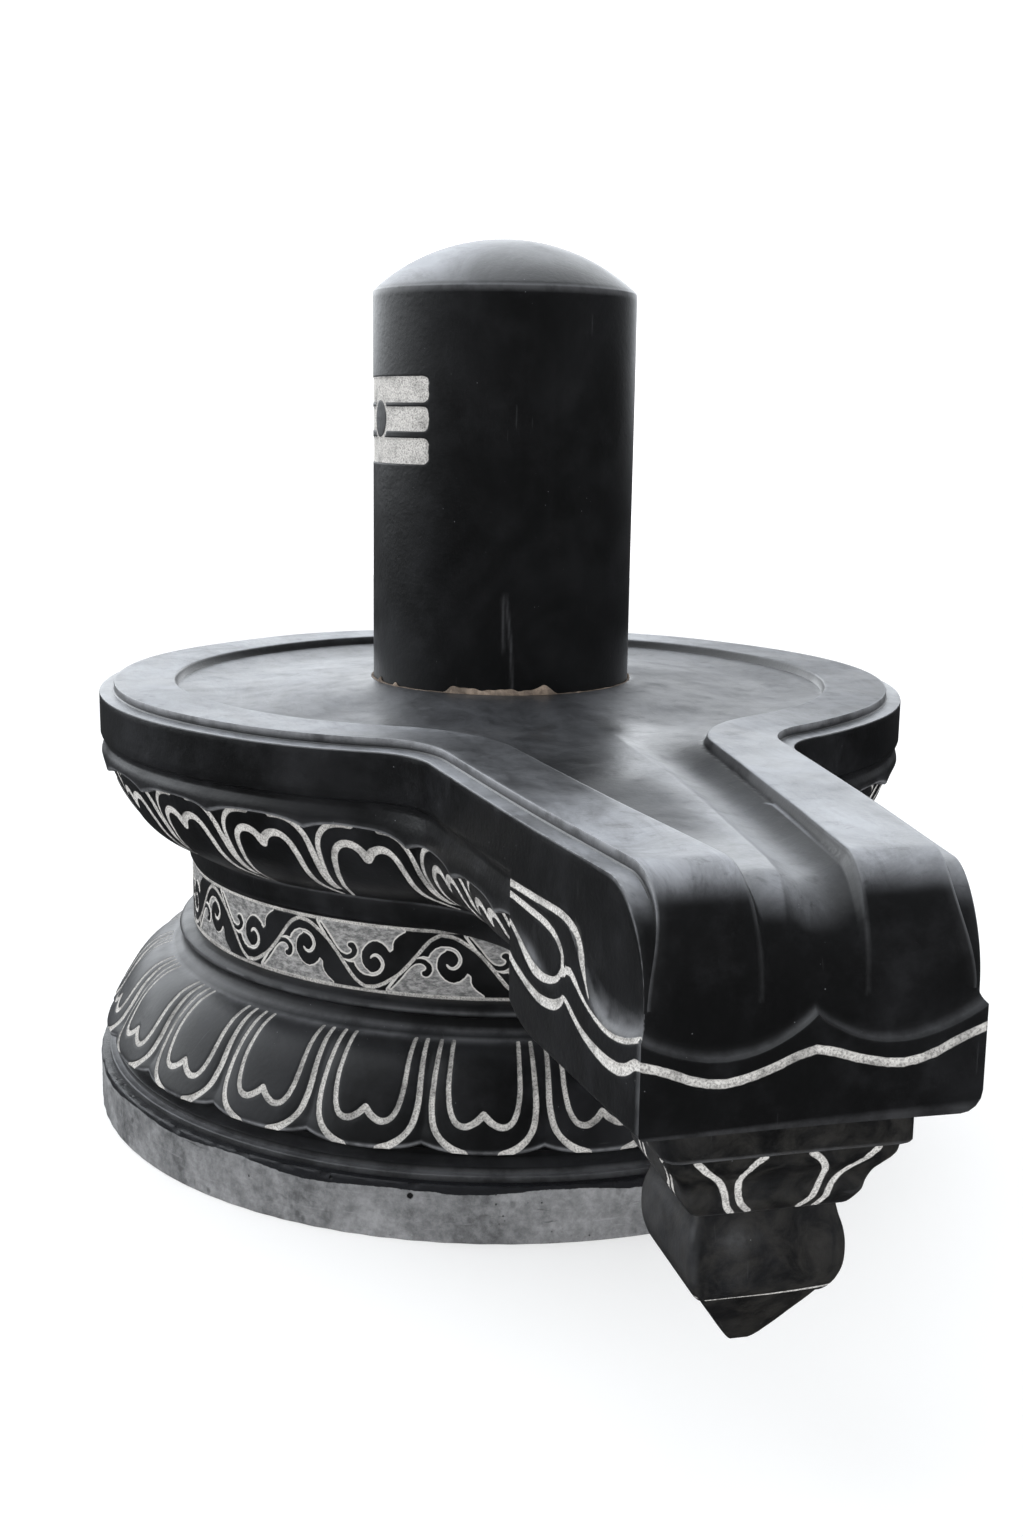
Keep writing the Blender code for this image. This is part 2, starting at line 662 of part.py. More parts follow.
def build_mortar(material):
    """A thin collar in the joint. Over one stretch it still stands up against the shaft as a flap."""
    skin = Skin()
    inner = SHAFT_RADIUS + SEAT_GAP
    outer = SHAFT_RADIUS + JOINT_WIDTH - 2 * SEAT_GAP
    level = TRAY_TOP - FLOOR_AT_SHAFT
    rows = [[], [], [], []]
    for i in range(SHAFT_SEGMENTS):
        angle = 2 * math.pi * i / SHAFT_SEGMENTS
        place = (angle + math.pi) % (2 * math.pi) - math.pi
        inside = MORTAR_FLAP_SPAN[0] <= place <= MORTAR_FLAP_SPAN[1]
        ragged = 0.75 + 0.25 * math.sin(23 * angle) * math.cos(9 * angle)
        rise = MORTAR_FLAP_RISE * ragged if inside else MORTAR_LIP
        for row, (radius, height) in zip(
            rows,
            (
                (inner, level - MORTAR_DEPTH),
                (inner, level + rise),
                (outer, level + rise * 0.6),
                (outer, level - MORTAR_DEPTH),
            ),
        ):
            row.append((*arc_point((0, 0), radius, angle), height))
    rows = [skin.row(points) for points in rows]
    for upper, lower in zip(rows, rows[1:] + rows[:1]):
        skin.strip(upper, lower, closed=True)
    return skin.build("shaft_mortar", material)


def main():
    for leftover in list(bpy.data.objects):
        bpy.data.objects.remove(leftover, do_unlink=True)
    polished = stone("polished_black_stone", (0.018, 0.019, 0.022), 0.28)
    pedestal_stone = stone("pedestal_stone", (0.030, 0.031, 0.034), 0.38)
    shaft_stone = stone("shaft_stone", (0.014, 0.015, 0.018), 0.25)
    mortar = stone("tan_mortar", (0.42, 0.34, 0.28), 0.9)

    tray = build_tray(polished)
    bracket = build_bracket()
    join = tray.modifiers.new("bracket", "BOOLEAN")
    join.operation = "UNION"
    join.object = bracket
    bracket.hide_render = True
    bracket.display_type = "WIRE"
    build_pedestal(pedestal_stone)
    build_shaft(shaft_stone)
    build_mortar(mortar)


main()
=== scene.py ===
"""Looks of a stone lingam: polished black stone with pale chiselled lines, worn and a little dusty.

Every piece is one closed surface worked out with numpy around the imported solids, in metres.
The spout runs along -Y, and azimuths are counted from the spout towards +X.
"""

import math

import bmesh
import bpy
import numpy as np
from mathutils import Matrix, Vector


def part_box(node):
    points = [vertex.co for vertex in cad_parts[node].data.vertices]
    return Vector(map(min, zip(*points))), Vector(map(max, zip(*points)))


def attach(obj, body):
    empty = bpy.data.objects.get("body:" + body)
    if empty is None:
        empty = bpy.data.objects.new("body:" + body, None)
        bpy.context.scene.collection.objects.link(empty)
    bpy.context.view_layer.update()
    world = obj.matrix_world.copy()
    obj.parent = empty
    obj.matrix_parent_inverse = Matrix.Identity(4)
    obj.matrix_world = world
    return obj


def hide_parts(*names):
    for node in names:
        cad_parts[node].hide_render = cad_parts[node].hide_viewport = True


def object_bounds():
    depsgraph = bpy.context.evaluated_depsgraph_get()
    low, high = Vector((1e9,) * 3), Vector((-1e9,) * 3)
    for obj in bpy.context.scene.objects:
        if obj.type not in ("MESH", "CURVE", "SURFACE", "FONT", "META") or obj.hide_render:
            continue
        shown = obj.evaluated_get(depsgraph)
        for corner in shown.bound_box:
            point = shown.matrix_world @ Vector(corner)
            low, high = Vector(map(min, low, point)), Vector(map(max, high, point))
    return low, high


bl_info = {
    "name": "Carved stone lingam",
    "version": (1, 0, 0),
    "blender": (4, 5, 0),
    "location": "3D View > Sidebar > Lingam",
    "description": "Carves and finishes the stone shaft, its spouted tray and its lotus pedestal",
    "category": "Add Mesh",
}

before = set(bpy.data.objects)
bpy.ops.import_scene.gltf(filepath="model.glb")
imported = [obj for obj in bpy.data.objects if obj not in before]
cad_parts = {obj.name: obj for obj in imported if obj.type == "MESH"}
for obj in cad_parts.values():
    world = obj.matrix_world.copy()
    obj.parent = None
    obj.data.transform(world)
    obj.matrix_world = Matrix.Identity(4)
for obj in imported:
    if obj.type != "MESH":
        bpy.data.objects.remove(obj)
SOLIDS_BOX = [list(corner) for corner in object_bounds()]
SHAFT_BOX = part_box("lingam_shaft")
TRAY_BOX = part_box("yoni_tray")
BASE_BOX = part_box("lotus_pedestal")
ROOT = "root"
FAR_FROM_LINES = 0.02


def length(name, description, default):
    return bpy.props.FloatProperty(
        name=name, description=description, default=default, min=0.0, unit="LENGTH", precision=4
    )


def number(name, description, default):
    return bpy.props.FloatProperty(name=name, description=description, default=default, precision=4)


def angle(name, description, degrees):
    return bpy.props.FloatProperty(
        name=name, description=description, default=math.radians(degrees), subtype="ANGLE", precision=4
    )


def colour(name, description, default):
    return bpy.props.FloatVectorProperty(
        name=name, description=description, default=default, size=3, min=0.0, max=1.0, subtype="COLOR"
    )


class LingamSizes(bpy.types.PropertyGroup):
    """Sizes of the carved stones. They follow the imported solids."""

    shaft_radius: length("Shaft radius", "Radius of the upright shaft", SHAFT_BOX[1].x)
    shaft_top: length("Shaft top", "Height of the dome's top above the floor", SHAFT_BOX[1].z)
    dome_rise: length("Dome rise", "Height of the dome above its edge", 0.078)
    tray_top: length("Tray top", "Height of the rim above the floor", TRAY_BOX[1].z)
    tray_radius: length("Tray radius", "Radius of the round tray", TRAY_BOX[1].x)
    tray_foot: length("Tray foot", "Height of the seam between tray and pedestal", 0.381)
    socket_gap: length("Joint", "Width of the joint round the shaft", 0.004)
    spout_reach: length("Spout reach", "From the shaft's axis to the spout's front", -TRAY_BOX[0].y)
    spout_half_width: length("Spout half width", "Half width of the spout's front", 0.170)
    spout_taper: number("Spout taper", "Growth of the half width towards the tray", 0.11)
    flare_radius: length("Flare radius", "Concave curve between tray and spout", 0.115)
    ledge_width: length("Ledge width", "Width of the low ledge round the rim", 0.022)
    ledge_drop: length("Ledge drop", "Step from the rim down to the ledge", 0.013)
    band_width: length("Band width", "Width of the flat rim", 0.0905)
    wall_height: length("Wall height", "Height of the plain wall under the ledge", 0.060)
    wall_round: length("Wall round", "Rounded foot of the wall", 0.008)
    rim_cove: length("Rim cove", "Slope of the wall inside the rim", 0.006)
    rim_wall: length("Inner wall", "Height of the wall inside the rim", 0.013)
    basin_depth: length("Basin depth", "Lowest place of the basin's floor", 0.020)
    floor_at_shaft: length("Floor at shaft", "Depth of the floor beside the shaft", 0.003)
    channel_depth: length("Channel depth", "Depth of the channel's flat floor", 0.016)
    gutter_sag: length("Gutter sag", "How far the gutter sinks below the floor", 0.010)
    block_back: length("Block back", "From the axis to the back of the spout's block", 0.920)
    block_drop: length("Block drop", "From the rim to the underside of the block", 0.240)
    roll_length: length("Roll length", "How far back the spout's edge starts to roll down", 0.082)
    roll_drop: length("Roll drop", "How far the rolled edge comes down", 0.120)
    lip_flare: length("Lip flare", "How far the scalloped lip stands out", 0.010)
    neck_radius: length("Neck radius", "Radius of the neck with the frieze", 0.486)
    frieze_foot: length("Frieze foot", "Height of the frieze's lower edge", 0.281)
    lotus_top: length("Lotus top", "Height of the lower lotus's top", 0.238)
    lotus_top_radius: length("Lotus top radius", "Radius of the lower lotus's top", 0.520)
    lotus_edge: length("Lotus edge", "Height of the lower petals' tips", 0.122)
    lotus_edge_radius: length("Lotus edge radius", "Radius of the lower petals' tips", 0.624)
    disc_top: length("Disc top", "Height of the base disc", 0.080)
    disc_radius: length("Disc radius", "Radius of the base disc", BASE_BOX[1].x)
    petals: bpy.props.IntProperty(name="Petals", description="Petals in each full ring", default=24)
    scroll_waves: bpy.props.IntProperty(
        name="Scroll waves", description="Waves of the scroll round the neck", default=14
    )


class LingamColours(bpy.types.PropertyGroup):
    """Colours of the stone, the chiselled lines and the studio."""

    polished: colour("Polished stone", "Black stone, oiled and polished", (0.0050, 0.0051, 0.0054))
    cloudy: colour("Cloudy stone", "Handled, cloudy places in the polish", (0.0185, 0.0190, 0.0215))
    # This dust colour also serves as painted sky reflection on the tray's level places and on the dome.
    dust_and_reflection_tint: colour("Dust", "Fine dust on level places", (0.33, 0.34, 0.365))
    chiselled: colour("Chiselled line", "Freshly cut stone in the lines", (0.62, 0.602, 0.575))
    ground: colour("Frieze ground", "Pecked ground of the frieze", (0.36, 0.355, 0.35))
    raw: colour("Raw stone", "Sawn stone of the base disc", (0.335, 0.338, 0.345))
    mortar: colour("Mortar", "Old mortar in the joint", (0.43, 0.345, 0.275))
    floor: colour("Floor", "Pale studio floor", (0.5, 0.5, 0.5))


class PhotoCamera(bpy.types.PropertyGroup):
    """Where the picture was taken from."""

    azimuth: angle("Azimuth", "Direction from the shaft to the camera, from the spout", -13.5)
    distance: length("Distance", "From the shaft's axis to the camera, level", 2.7426)
    height: length("Height", "Camera above the floor", 1.0588)
    pitch: number("Pitch", "Downward tilt in radians", 0.1994)
    yaw: number("Yaw", "Turn to the right in radians", 0.0070)
    roll: number("Roll", "Lean in radians", -0.0130)
    focal: number("Lens", "Focal length for a 36 mm long side", 40.99)


def sizes():
    return bpy.context.scene.lingam_sizes


def colours():
    return bpy.context.scene.lingam_colours


# Numbers worked out as whole arrays


def smooth_step(value, low, high):
    """0 below low, 1 above high, and 3 t^2 - 2 t^3 between them."""
    t = np.clip((value - low) / (high - low), 0.0, 1.0)
    return t * t * (3 - 2 * t)


def curve_through(points, steps=6):
    """Catmull-Rom curve through the points: each span is a cubic whose slopes are half the next chords."""
    p = np.asarray(points, float)
    q = np.vstack([2 * p[0] - p[1], p, 2 * p[-1] - p[-2]])
    t = np.linspace(0.0, 1.0, steps, endpoint=False)[None, :, None]
    a, b, c, d = (q[k : len(p) - 1 + k, None, :] for k in range(4))
    spans = 0.5 * (
        2 * b + (c - a) * t + (2 * a - 5 * b + 4 * c - d) * t**2 + (3 * b - a - 3 * c + d) * t**3
    )
    return np.vstack([spans.reshape(-1, p.shape[1]), p[-1:]])


def gap_to_lines(places, lines):
    """Distance from each place to the nearest line's edge, negative inside the line.

    A line is an array of (x, y, half width). Each of its straight pieces is a round-ended bar.
    """
    places = np.asarray(places, float)
    best = np.full(places.shape[:-1], FAR_FROM_LINES)
    for line in lines:
        for start, end in zip(line, line[1:]):
            run = end[:2] - start[:2]
            from_start = places - start[:2]
            t = np.clip((from_start @ run) / max(run @ run, 1e-12), 0.0, 1.0)
            away = np.hypot(from_start[..., 0] - t * run[0], from_start[..., 1] - t * run[1])
            best = np.minimum(best, away - start[2] - t * (end[2] - start[2]))
    return best


def gap_to_shape(places, outline):
    """Distance to a closed outline, negative inside it.

    A place is inside where a level ray from it crosses the outline an odd number of times.
    """
    outline = np.asarray(outline, float)
    ends = np.roll(outline, -1, axis=0)
    edges = [np.pad(np.stack(pair), ((0, 0), (0, 1))) for pair in zip(outline, ends)]
    away = gap_to_lines(places, edges)
    x, y = places[..., 0], places[..., 1]
    inside = np.zeros(x.shape, bool)
    for start, end in zip(outline, ends):
        rise = end[1] - start[1]
        if rise:
            crossing = start[0] + (y - start[1]) * (end[0] - start[0]) / rise
            inside ^= ((start[1] > y) != (end[1] > y)) & (x < crossing)
    return np.where(inside, -away, away)


def hand_cut(points, amount=0.0007):
    """A slow unevenness of hand work: sums of sines of the place, moved along each axis."""
    x, y, z = points[..., 0], points[..., 1], points[..., 2]
    a = np.sin(11.3 * x + 7.1 * y + 4.0 * z + 0.5) + np.sin(5.7 * y - 17.9 * x + 9.0 * z + 1.1)
    b = np.sin(12.9 * y - 6.1 * x + 5.0 * z + 2.1) + np.sin(7.7 * x + 16.1 * y - 8.0 * z + 0.3)
    c = np.sin(9.9 * x + 11.9 * y + 3.1) + np.sin(19.1 * x - 6.3 * y + 14.0 * z)
    return points + 0.5 * amount * np.stack([a, b, c], -1)


def turned(radius, height, azimuth):
    """Points of a surface of revolution: (r sin a, -r cos a, z)."""
    radius, height, azimuth = np.broadcast_arrays(radius, height, azimuth)
    return np.stack([radius * np.sin(azimuth), -radius * np.cos(azimuth), height], -1)


class Surface:
    """One closed piece, gathered from grids and flat caps and then welded."""

    def __init__(self):
        self.points = []
        self.quads = []
        self.caps = []
        self.values = {}
        self.count = 0

    def grid(self, points, closed=False, **values):
        """A sheet over a grid of points, rows by columns. Returns the grid of their numbers."""
        rows, columns = points.shape[:2]
        index = np.arange(rows * columns).reshape(rows, columns) + self.count
        ring = np.hstack([index, index[:, :1]]) if closed else index
        quads = np.stack([ring[:-1, :-1], ring[:-1, 1:], ring[1:, 1:], ring[1:, :-1]], -1)
        self.quads.append(quads.reshape(-1, 4))
        self.points.append(points.reshape(-1, 3))
        self.count += rows * columns
        for name in ("line_gap", "wear", "tone", "matt"):
            value = values.get(name, FAR_FROM_LINES if name == "line_gap" else 0.0)
            spread = np.broadcast_to(value, (rows, columns)).reshape(-1)
            self.values.setdefault(name, []).append(spread)
        return index

    def cap(self, ring):
        self.caps.append([int(i) for i in ring])

    def build(self, name, finish, slot, node, uneven=0.0007, sharp=38):
        points = np.clip(hand_cut(np.vstack(self.points), uneven), *SOLIDS_BOX)
        mesh = bpy.data.meshes.new(name)
        mesh.from_pydata(points, [], np.vstack(self.quads).tolist() + self.caps)
        for value_name, parts in self.values.items():
            layer = mesh.attributes.new(value_name, "FLOAT", "POINT")
            layer.data.foreach_set("value", np.concatenate(parts).astype(np.float32))
        work = bmesh.new()
        work.from_mesh(mesh)
        bmesh.ops.remove_doubles(work, verts=work.verts, dist=0.00002)
        bmesh.ops.dissolve_degenerate(work, edges=work.edges, dist=0.00002)
        bmesh.ops.recalc_face_normals(work, faces=work.faces)
        work.to_mesh(mesh)
        work.free()
        mesh.shade_smooth()
        mesh.set_sharp_from_angle(angle=math.radians(sharp))
        mesh.materials.append(finish)
        piece = bpy.data.objects.new(name, mesh)
        bpy.context.scene.collection.objects.link(piece)
        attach(piece, ROOT)
        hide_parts(node)
        return piece


# Shader maths


class Amount:
    """A number that changes over a surface. Arithmetic on it adds Math nodes."""

    def __init__(self, recipe, socket):
        self.recipe = recipe
        self.socket = socket

    def maths(self, operation, *others, clamp=False):
        settings = {"operation": operation, "use_clamp": clamp}
        return self.recipe.node("ShaderNodeMath", settings, {0: self, **dict(enumerate(others, 1))})

    def __add__(self, other):
        return self.maths("ADD", other)

    def __radd__(self, other):
        return self.maths("ADD", other)

    def __sub__(self, other):
        return self.maths("SUBTRACT", other)

    def __rsub__(self, other):
        return self.recipe.node("ShaderNodeMath", {"operation": "SUBTRACT"}, {0: other, 1: self})

    def __mul__(self, other):
        return self.maths("MULTIPLY", other)

    def __rmul__(self, other):
        return self.maths("MULTIPLY", other)

    def clamped(self):
        return self.maths("ADD", 0.0, clamp=True)

    def band(self, low, high):
        """0 at low, 1 at high, eased between them. low may be above high."""
        settings = {"interpolation_type": "SMOOTHSTEP", "clamp": True}
        values = {"Value": self, "From Min": min(low, high), "From Max": max(low, high)}
        if low > high:
            values.update({"To Min": 1.0, "To Max": 0.0})
        return self.recipe.node("ShaderNodeMapRange", settings, values)


class Recipe:
    """A material under construction."""

    def __init__(self, name):
        self.material = bpy.data.materials.new(name)
        self.material.use_nodes = True
        self.tree = self.material.node_tree
        self.shader = self.tree.nodes["Principled BSDF"]

    def node(self, kind, settings=None, values=None, output=0):
        """Adds a node, sets its settings, then its sockets by name or number. Returns one output."""
        made = self.tree.nodes.new(kind)
        for key, value in (settings or {}).items():
            setattr(made, key, value)
        for key, value in (values or {}).items():
            self.connect(made.inputs[key], value)
        return Amount(self, made.outputs[output])

    def connect(self, socket, value):
        if isinstance(value, Amount):
            self.tree.links.new(value.socket, socket)
        elif hasattr(value, "__len__") and len(value) == 3 and socket.type == "RGBA":
            socket.default_value = (*value, 1.0)
        else:
            socket.default_value = value

    def place(self, stretch=(1.0, 1.0, 1.0), turn=(0.0, 0.0, 0.0)):
        here = self.node("ShaderNodeTexCoord", output="Object")
        if stretch == (1.0, 1.0, 1.0) and turn == (0.0, 0.0, 0.0):
            return here
        return self.node("ShaderNodeMapping", None, {"Vector": here, "Scale": stretch, "Rotation": turn})

    def noise(self, scale, detail=4.0, rough=0.55, at=None, twist=0.0):
        values = {"Scale": scale, "Detail": detail, "Roughness": rough, "Distortion": twist}
        values["Vector"] = at or self.place()
        return self.node("ShaderNodeTexNoise", {"noise_dimensions": "3D"}, values)

    def cells(self, scale, at=None):
        """Distance to the nearest of many scattered points."""
        values = {"Scale": scale, "Vector": at or self.place()}
        return self.node("ShaderNodeTexVoronoi", {"feature": "F1"}, values)

    def value(self, name):
        return self.node("ShaderNodeAttribute", {"attribute_name": name}, output="Fac")

    def blend(self, share, first, second):
        """Colour mixed from first to second."""
        made = self.tree.nodes.new("ShaderNodeMix")
        made.data_type = "RGBA"
        self.connect(made.inputs[0], share)
        self.connect(made.inputs[6], first)
        self.connect(made.inputs[7], second)
        return Amount(self, made.outputs[2])

    def facing_up(self):
        normal = self.node("ShaderNodeNewGeometry", output="Normal")
        return self.node("ShaderNodeSeparateXYZ", None, {"Vector": normal}, output=2)

    def bump(self, height, distance, under=None):
        values = {"Height": height, "Distance": distance, "Strength": 1.0}
        if under is not None:
            values["Normal"] = under
        return self.node("ShaderNodeBump", None, values)

    def finish(self, base, roughness, normal=None):
        self.connect(self.shader.inputs["Base Color"], base)
        self.connect(self.shader.inputs["Roughness"], roughness)
        if normal is not None:
            self.connect(self.shader.inputs["Normal"], normal)
        return self.material


# Pale rubbed stone; the same colour paints highlight lines on edges and a sheen on the bracket.
WORN_AND_HIGHLIGHT_STONE = (0.27, 0.275, 0.29)
LINE_CRUMBS = (0.27, 0.26, 0.25)
BROWN_GRIME = (0.046, 0.043, 0.038)
GROUND_HOLLOWS = (0.115, 0.115, 0.115)


def black_stone(
    name,
    gloss=0.30,
    dust_and_reflection=1.0,
    cloud=1.0,
    streaks=0.0,
    ground=False,
    level=(0.62, 0.99),
    scuffs=0.0,
    shine=0.34,
    grime=0.0,
):
    """Black stone, polished and handled: clouds, specks, fine scratches, dust above with painted sky
    reflection on the tray and the dome, pale cut lines.

    Four values of the mesh steer it: line_gap is the distance to the nearest chiselled line, the wear value
    marks rubbed edges and also painted highlight lines and sheen, tone is the dust, which on the tray and
    the dome also paints reflections, or on the frieze the distance to the pecked ground, and matt is how
    dull a level place is. level gives the upward tilts at which the dust and its painted reflection start
    and are full.
    """
    c = colours()
    recipe = Recipe(name)
    recipe.shader.inputs["Specular IOR Level"].default_value = shine
    broad = recipe.noise(4.2, 5.0, 0.62, twist=0.6)
    patchy = recipe.noise(19.0, 6.0, 0.68)
    fine = recipe.noise(140.0, 3.0, 0.6)
    clouds = (broad.band(0.38, 0.72) * 0.65 + patchy.band(0.45, 0.78) * 0.5) * cloud
    upward = recipe.facing_up().band(*level)
    drift = recipe.noise(9.0, 7.0, 0.7, at=recipe.place((1.0, 0.55, 1.0), (0.0, 0.0, 0.35)), twist=1.2)
    traced_dust_and_reflection = recipe.value("tone") if not ground else 0.0
    # Dust on upward faces. On the tray and the dome the traced tone also paints reflections: bright where
    # the sky is mirrored, little where the shaft's dark image falls.
    dust_and_reflection_cover = upward * (drift.band(0.30, 0.70) * 0.6 + 0.4) * (traced_dust_and_reflection + dust_and_reflection)
    if scuffs:
        swept = recipe.noise(15.0, 7.0, 0.72, at=recipe.place((2.6, 0.5, 1.0), (0.0, 0.0, -0.10)), twist=0.5)
        blots = recipe.noise(38.0, 5.0, 0.7, twist=0.8)
        thinned = (swept.band(0.46, 0.66) * 0.30 + blots.band(0.56, 0.70) * 0.35) * scuffs
        dust_and_reflection_cover = dust_and_reflection_cover * (1.0 - thinned)
    scratch_a = recipe.noise(26.0, 2.0, 0.5, at=recipe.place((7.0, 0.35, 0.35), (0.3, 0.2, 0.5)))
    scratch_b = recipe.noise(21.0, 2.0, 0.5, at=recipe.place((0.3, 6.0, 0.4), (0.1, 0.6, -0.4)))
    scratches = (scratch_a.band(0.75, 0.77) + scratch_b.band(0.74, 0.76)).clamped()
    dots = recipe.cells(70.0).band(0.050, 0.028) * recipe.noise(12.0, 2.0, 0.5).band(0.50, 0.62)
    marks = (scratches * 0.05 + dots * 0.7).clamped()
    base = recipe.blend(clouds.clamped(), tuple(c.polished), tuple(c.cloudy))
    base = recipe.blend(dust_and_reflection_cover.clamped(), base, tuple(c.dust_and_reflection_tint))
    if streaks:
        run = recipe.noise(16.0, 5.0, 0.6, at=recipe.place((1.0, 1.0, 0.10)))
        base = recipe.blend(run.band(0.55, 0.80) * streaks, base, tuple(c.cloudy))
    wear = recipe.value("wear") * (patchy.band(0.30, 0.62) * 0.7 + 0.25)
    # Pale rubbed edges, specks and scratches, and the painted highlight lines and sheen carried by the wear
    # value.
    base = recipe.blend((wear * 0.8 + marks).clamped(), base, WORN_AND_HIGHLIGHT_STONE)
    ragged = recipe.value("line_gap") + (recipe.noise(210.0, 3.0, 0.6) - 0.5) * 0.0016
    cut = ragged.band(0.0012, 0.0)
    crumbs = recipe.noise(420.0, 3.0, 0.65)
    worn_line = recipe.noise(24.0, 4.0, 0.6).band(0.28, 0.55)
    cut_colour = recipe.blend(crumbs.band(0.33, 0.60), LINE_CRUMBS, tuple(c.chiselled))
    roughness = clouds * 0.16 + dust_and_reflection_cover * 0.22 + patchy * 0.10 + gloss - 0.05
    if scuffs:
        roughness = roughness + upward * (recipe.value("matt") + (blots - 0.5) * 0.25) * 0.50
    if grime:
        stained = recipe.noise(28.0, 6.0, 0.7, twist=0.7).band(0.36, 0.66)
        base = recipe.blend(stained * grime, base, BROWN_GRIME)
    if ground:
        to_ground = recipe.value("tone")
        pecked = (to_ground + (recipe.noise(260.0, 3.0, 0.6) - 0.5) * 0.0012).band(0.0005, -0.0003)
        rim = to_ground.band(-0.0030, -0.0008) * pecked
        tooled = recipe.noise(90.0, 5.0, 0.72, at=recipe.place((1.0, 1.0, 2.2), (0.2, 0.1, 0.0)))
        stone = recipe.blend(tooled.band(0.36, 0.66), GROUND_HOLLOWS, tuple(c.ground))
        base = recipe.blend(pecked, base, recipe.blend(rim, stone, tuple(c.chiselled)))
        roughness = roughness + pecked * 0.45
    base = recipe.blend(cut * (worn_line * 0.55 + 0.45), base, cut_colour)
    roughness = (roughness + cut * 0.5).clamped()
    relief = recipe.bump(recipe.value("line_gap").band(0.0012, -0.0030), -0.0012)
    skin = recipe.bump(fine * 0.6 + patchy, 0.0005, relief)
    tooth = recipe.bump(crumbs * cut, 0.0010, skin)
    if ground:
        tooth = recipe.bump(recipe.noise(150.0, 4.0, 0.7) * pecked, 0.0016, tooth)
    return recipe.finish(base, roughness, tooth)


def raw_stone(name):
    """Sawn and roughly chiselled grey stone, with black paint run down over its upper edge.

    tone is 1 where the black finish of the stone above ends and 0 on the bare side.
    """
    c = colours()
    recipe = Recipe(name)
    recipe.shader.inputs["Specular IOR Level"].default_value = 0.30
    broad = recipe.noise(5.0, 6.0, 0.65, twist=0.4)
    grain = recipe.noise(60.0, 7.0, 0.75)
    saw = recipe.noise(12.0, 5.0, 0.6, at=recipe.place((1.0, 1.0, 9.0)))
    mottled = (broad.band(0.32, 0.70) * 0.55 + grain.band(0.30, 0.75) * 0.45).clamped()
    base = recipe.blend(mottled, (0.055, 0.056, 0.059), tuple(c.raw))
    base = recipe.blend(saw.band(0.60, 0.72) * 0.5, base, (0.30, 0.30, 0.31))
    base = recipe.blend(saw.band(0.36, 0.26) * 0.7, base, (0.030, 0.030, 0.032))
    pits = recipe.cells(95.0).band(0.16, 0.07) * recipe.noise(9.0, 3.0, 0.6).band(0.52, 0.62)
    base = recipe.blend(pits.clamped() * 0.8, base, (0.012, 0.012, 0.012))
    dimples = recipe.cells(58.0, at=recipe.place((1.0, 1.0, 0.7))).band(0.30, 0.12)
    dimples = dimples * recipe.noise(6.5, 2.0, 0.5).band(0.53, 0.60)
    base = recipe.blend(dimples * 0.55, base, (0.045, 0.046, 0.048))
    smears = recipe.noise(14.0, 6.0, 0.72, twist=0.5).band(0.56, 0.70)
    base = recipe.blend(smears * 0.45, base, (0.060, 0.061, 0.064))
    runny = recipe.noise(30.0, 6.0, 0.7, at=recipe.place((1.0, 1.0, 0.5)))
    painted = (recipe.value("tone") + (runny - 0.5) * 1.3).band(0.42, 0.52)
    base = recipe.blend(painted, base, (0.013, 0.0135, 0.016))
    # The small holes are a bump painted near black inside: painted shade in the holes.
    ragged = recipe.value("line_gap") + (recipe.noise(300.0, 3.0, 0.6) - 0.5) * 0.0014
    hole_and_shade = ragged.band(0.0008, -0.0008)
    base = recipe.blend(hole_and_shade, base, (0.006, 0.006, 0.006))
    roughness = (grain * 0.25 - painted * 0.30 + 0.60).clamped()
    skin = recipe.bump(grain + saw * 0.8 - pits * 0.8 - dimples * 0.8, 0.0016)
    return recipe.finish(base, roughness, recipe.bump(hole_and_shade, -0.003, skin))


def old_mortar(name):
    """Crumbling tan mortar, darker where damp."""
    c = colours()
    recipe = Recipe(name)
    recipe.shader.inputs["Specular IOR Level"].default_value = 0.2
    lumps = recipe.noise(120.0, 6.0, 0.7)
    damp = recipe.noise(22.0, 3.0, 0.6)
    base = recipe.blend(lumps.band(0.32, 0.68), (0.20, 0.155, 0.12), tuple(c.mortar))
    base = recipe.blend(damp.band(0.62, 0.42) * 0.65, base, (0.075, 0.060, 0.050))
    return recipe.finish(base, lumps * 0.2 + 0.75, recipe.bump(lumps, 0.0012))


# Shaft


def shaft_profile(s):
    """Radius and height from the socket up: a straight side, a small arris and a ball's cap."""
    foot = s.tray_top - 0.058
    edge = s.shaft_top - s.dome_rise
    ball = (s.shaft_radius**2 + s.dome_rise**2) / (2 * s.dome_rise)
    sweep = math.asin(s.shaft_radius / ball)
    bars_low, bars_high = s.tray_top + 0.315, s.tray_top + 0.465
    side = np.concatenate(
        [
            np.linspace(foot, s.tray_top + 0.03, 8, endpoint=False),
            np.linspace(s.tray_top + 0.03, bars_low, 24, endpoint=False),
            np.linspace(bars_low, bars_high, 75, endpoint=False),
            np.linspace(bars_high, edge - 0.0020, 14),
        ]
    )
    turns = sweep * np.linspace(1.0, 0.004, 46)
    cap_radius = ball * np.sin(turns)
    cap_height = s.shaft_top - ball * (1 - np.cos(turns))
    cap_radius[0] -= 0.0010
    radius = np.concatenate([np.full(len(side), s.shaft_radius), [s.shaft_radius - 0.0003], cap_radius])
    height = np.concatenate([side, [edge - 0.0008], cap_height])
    return radius, height


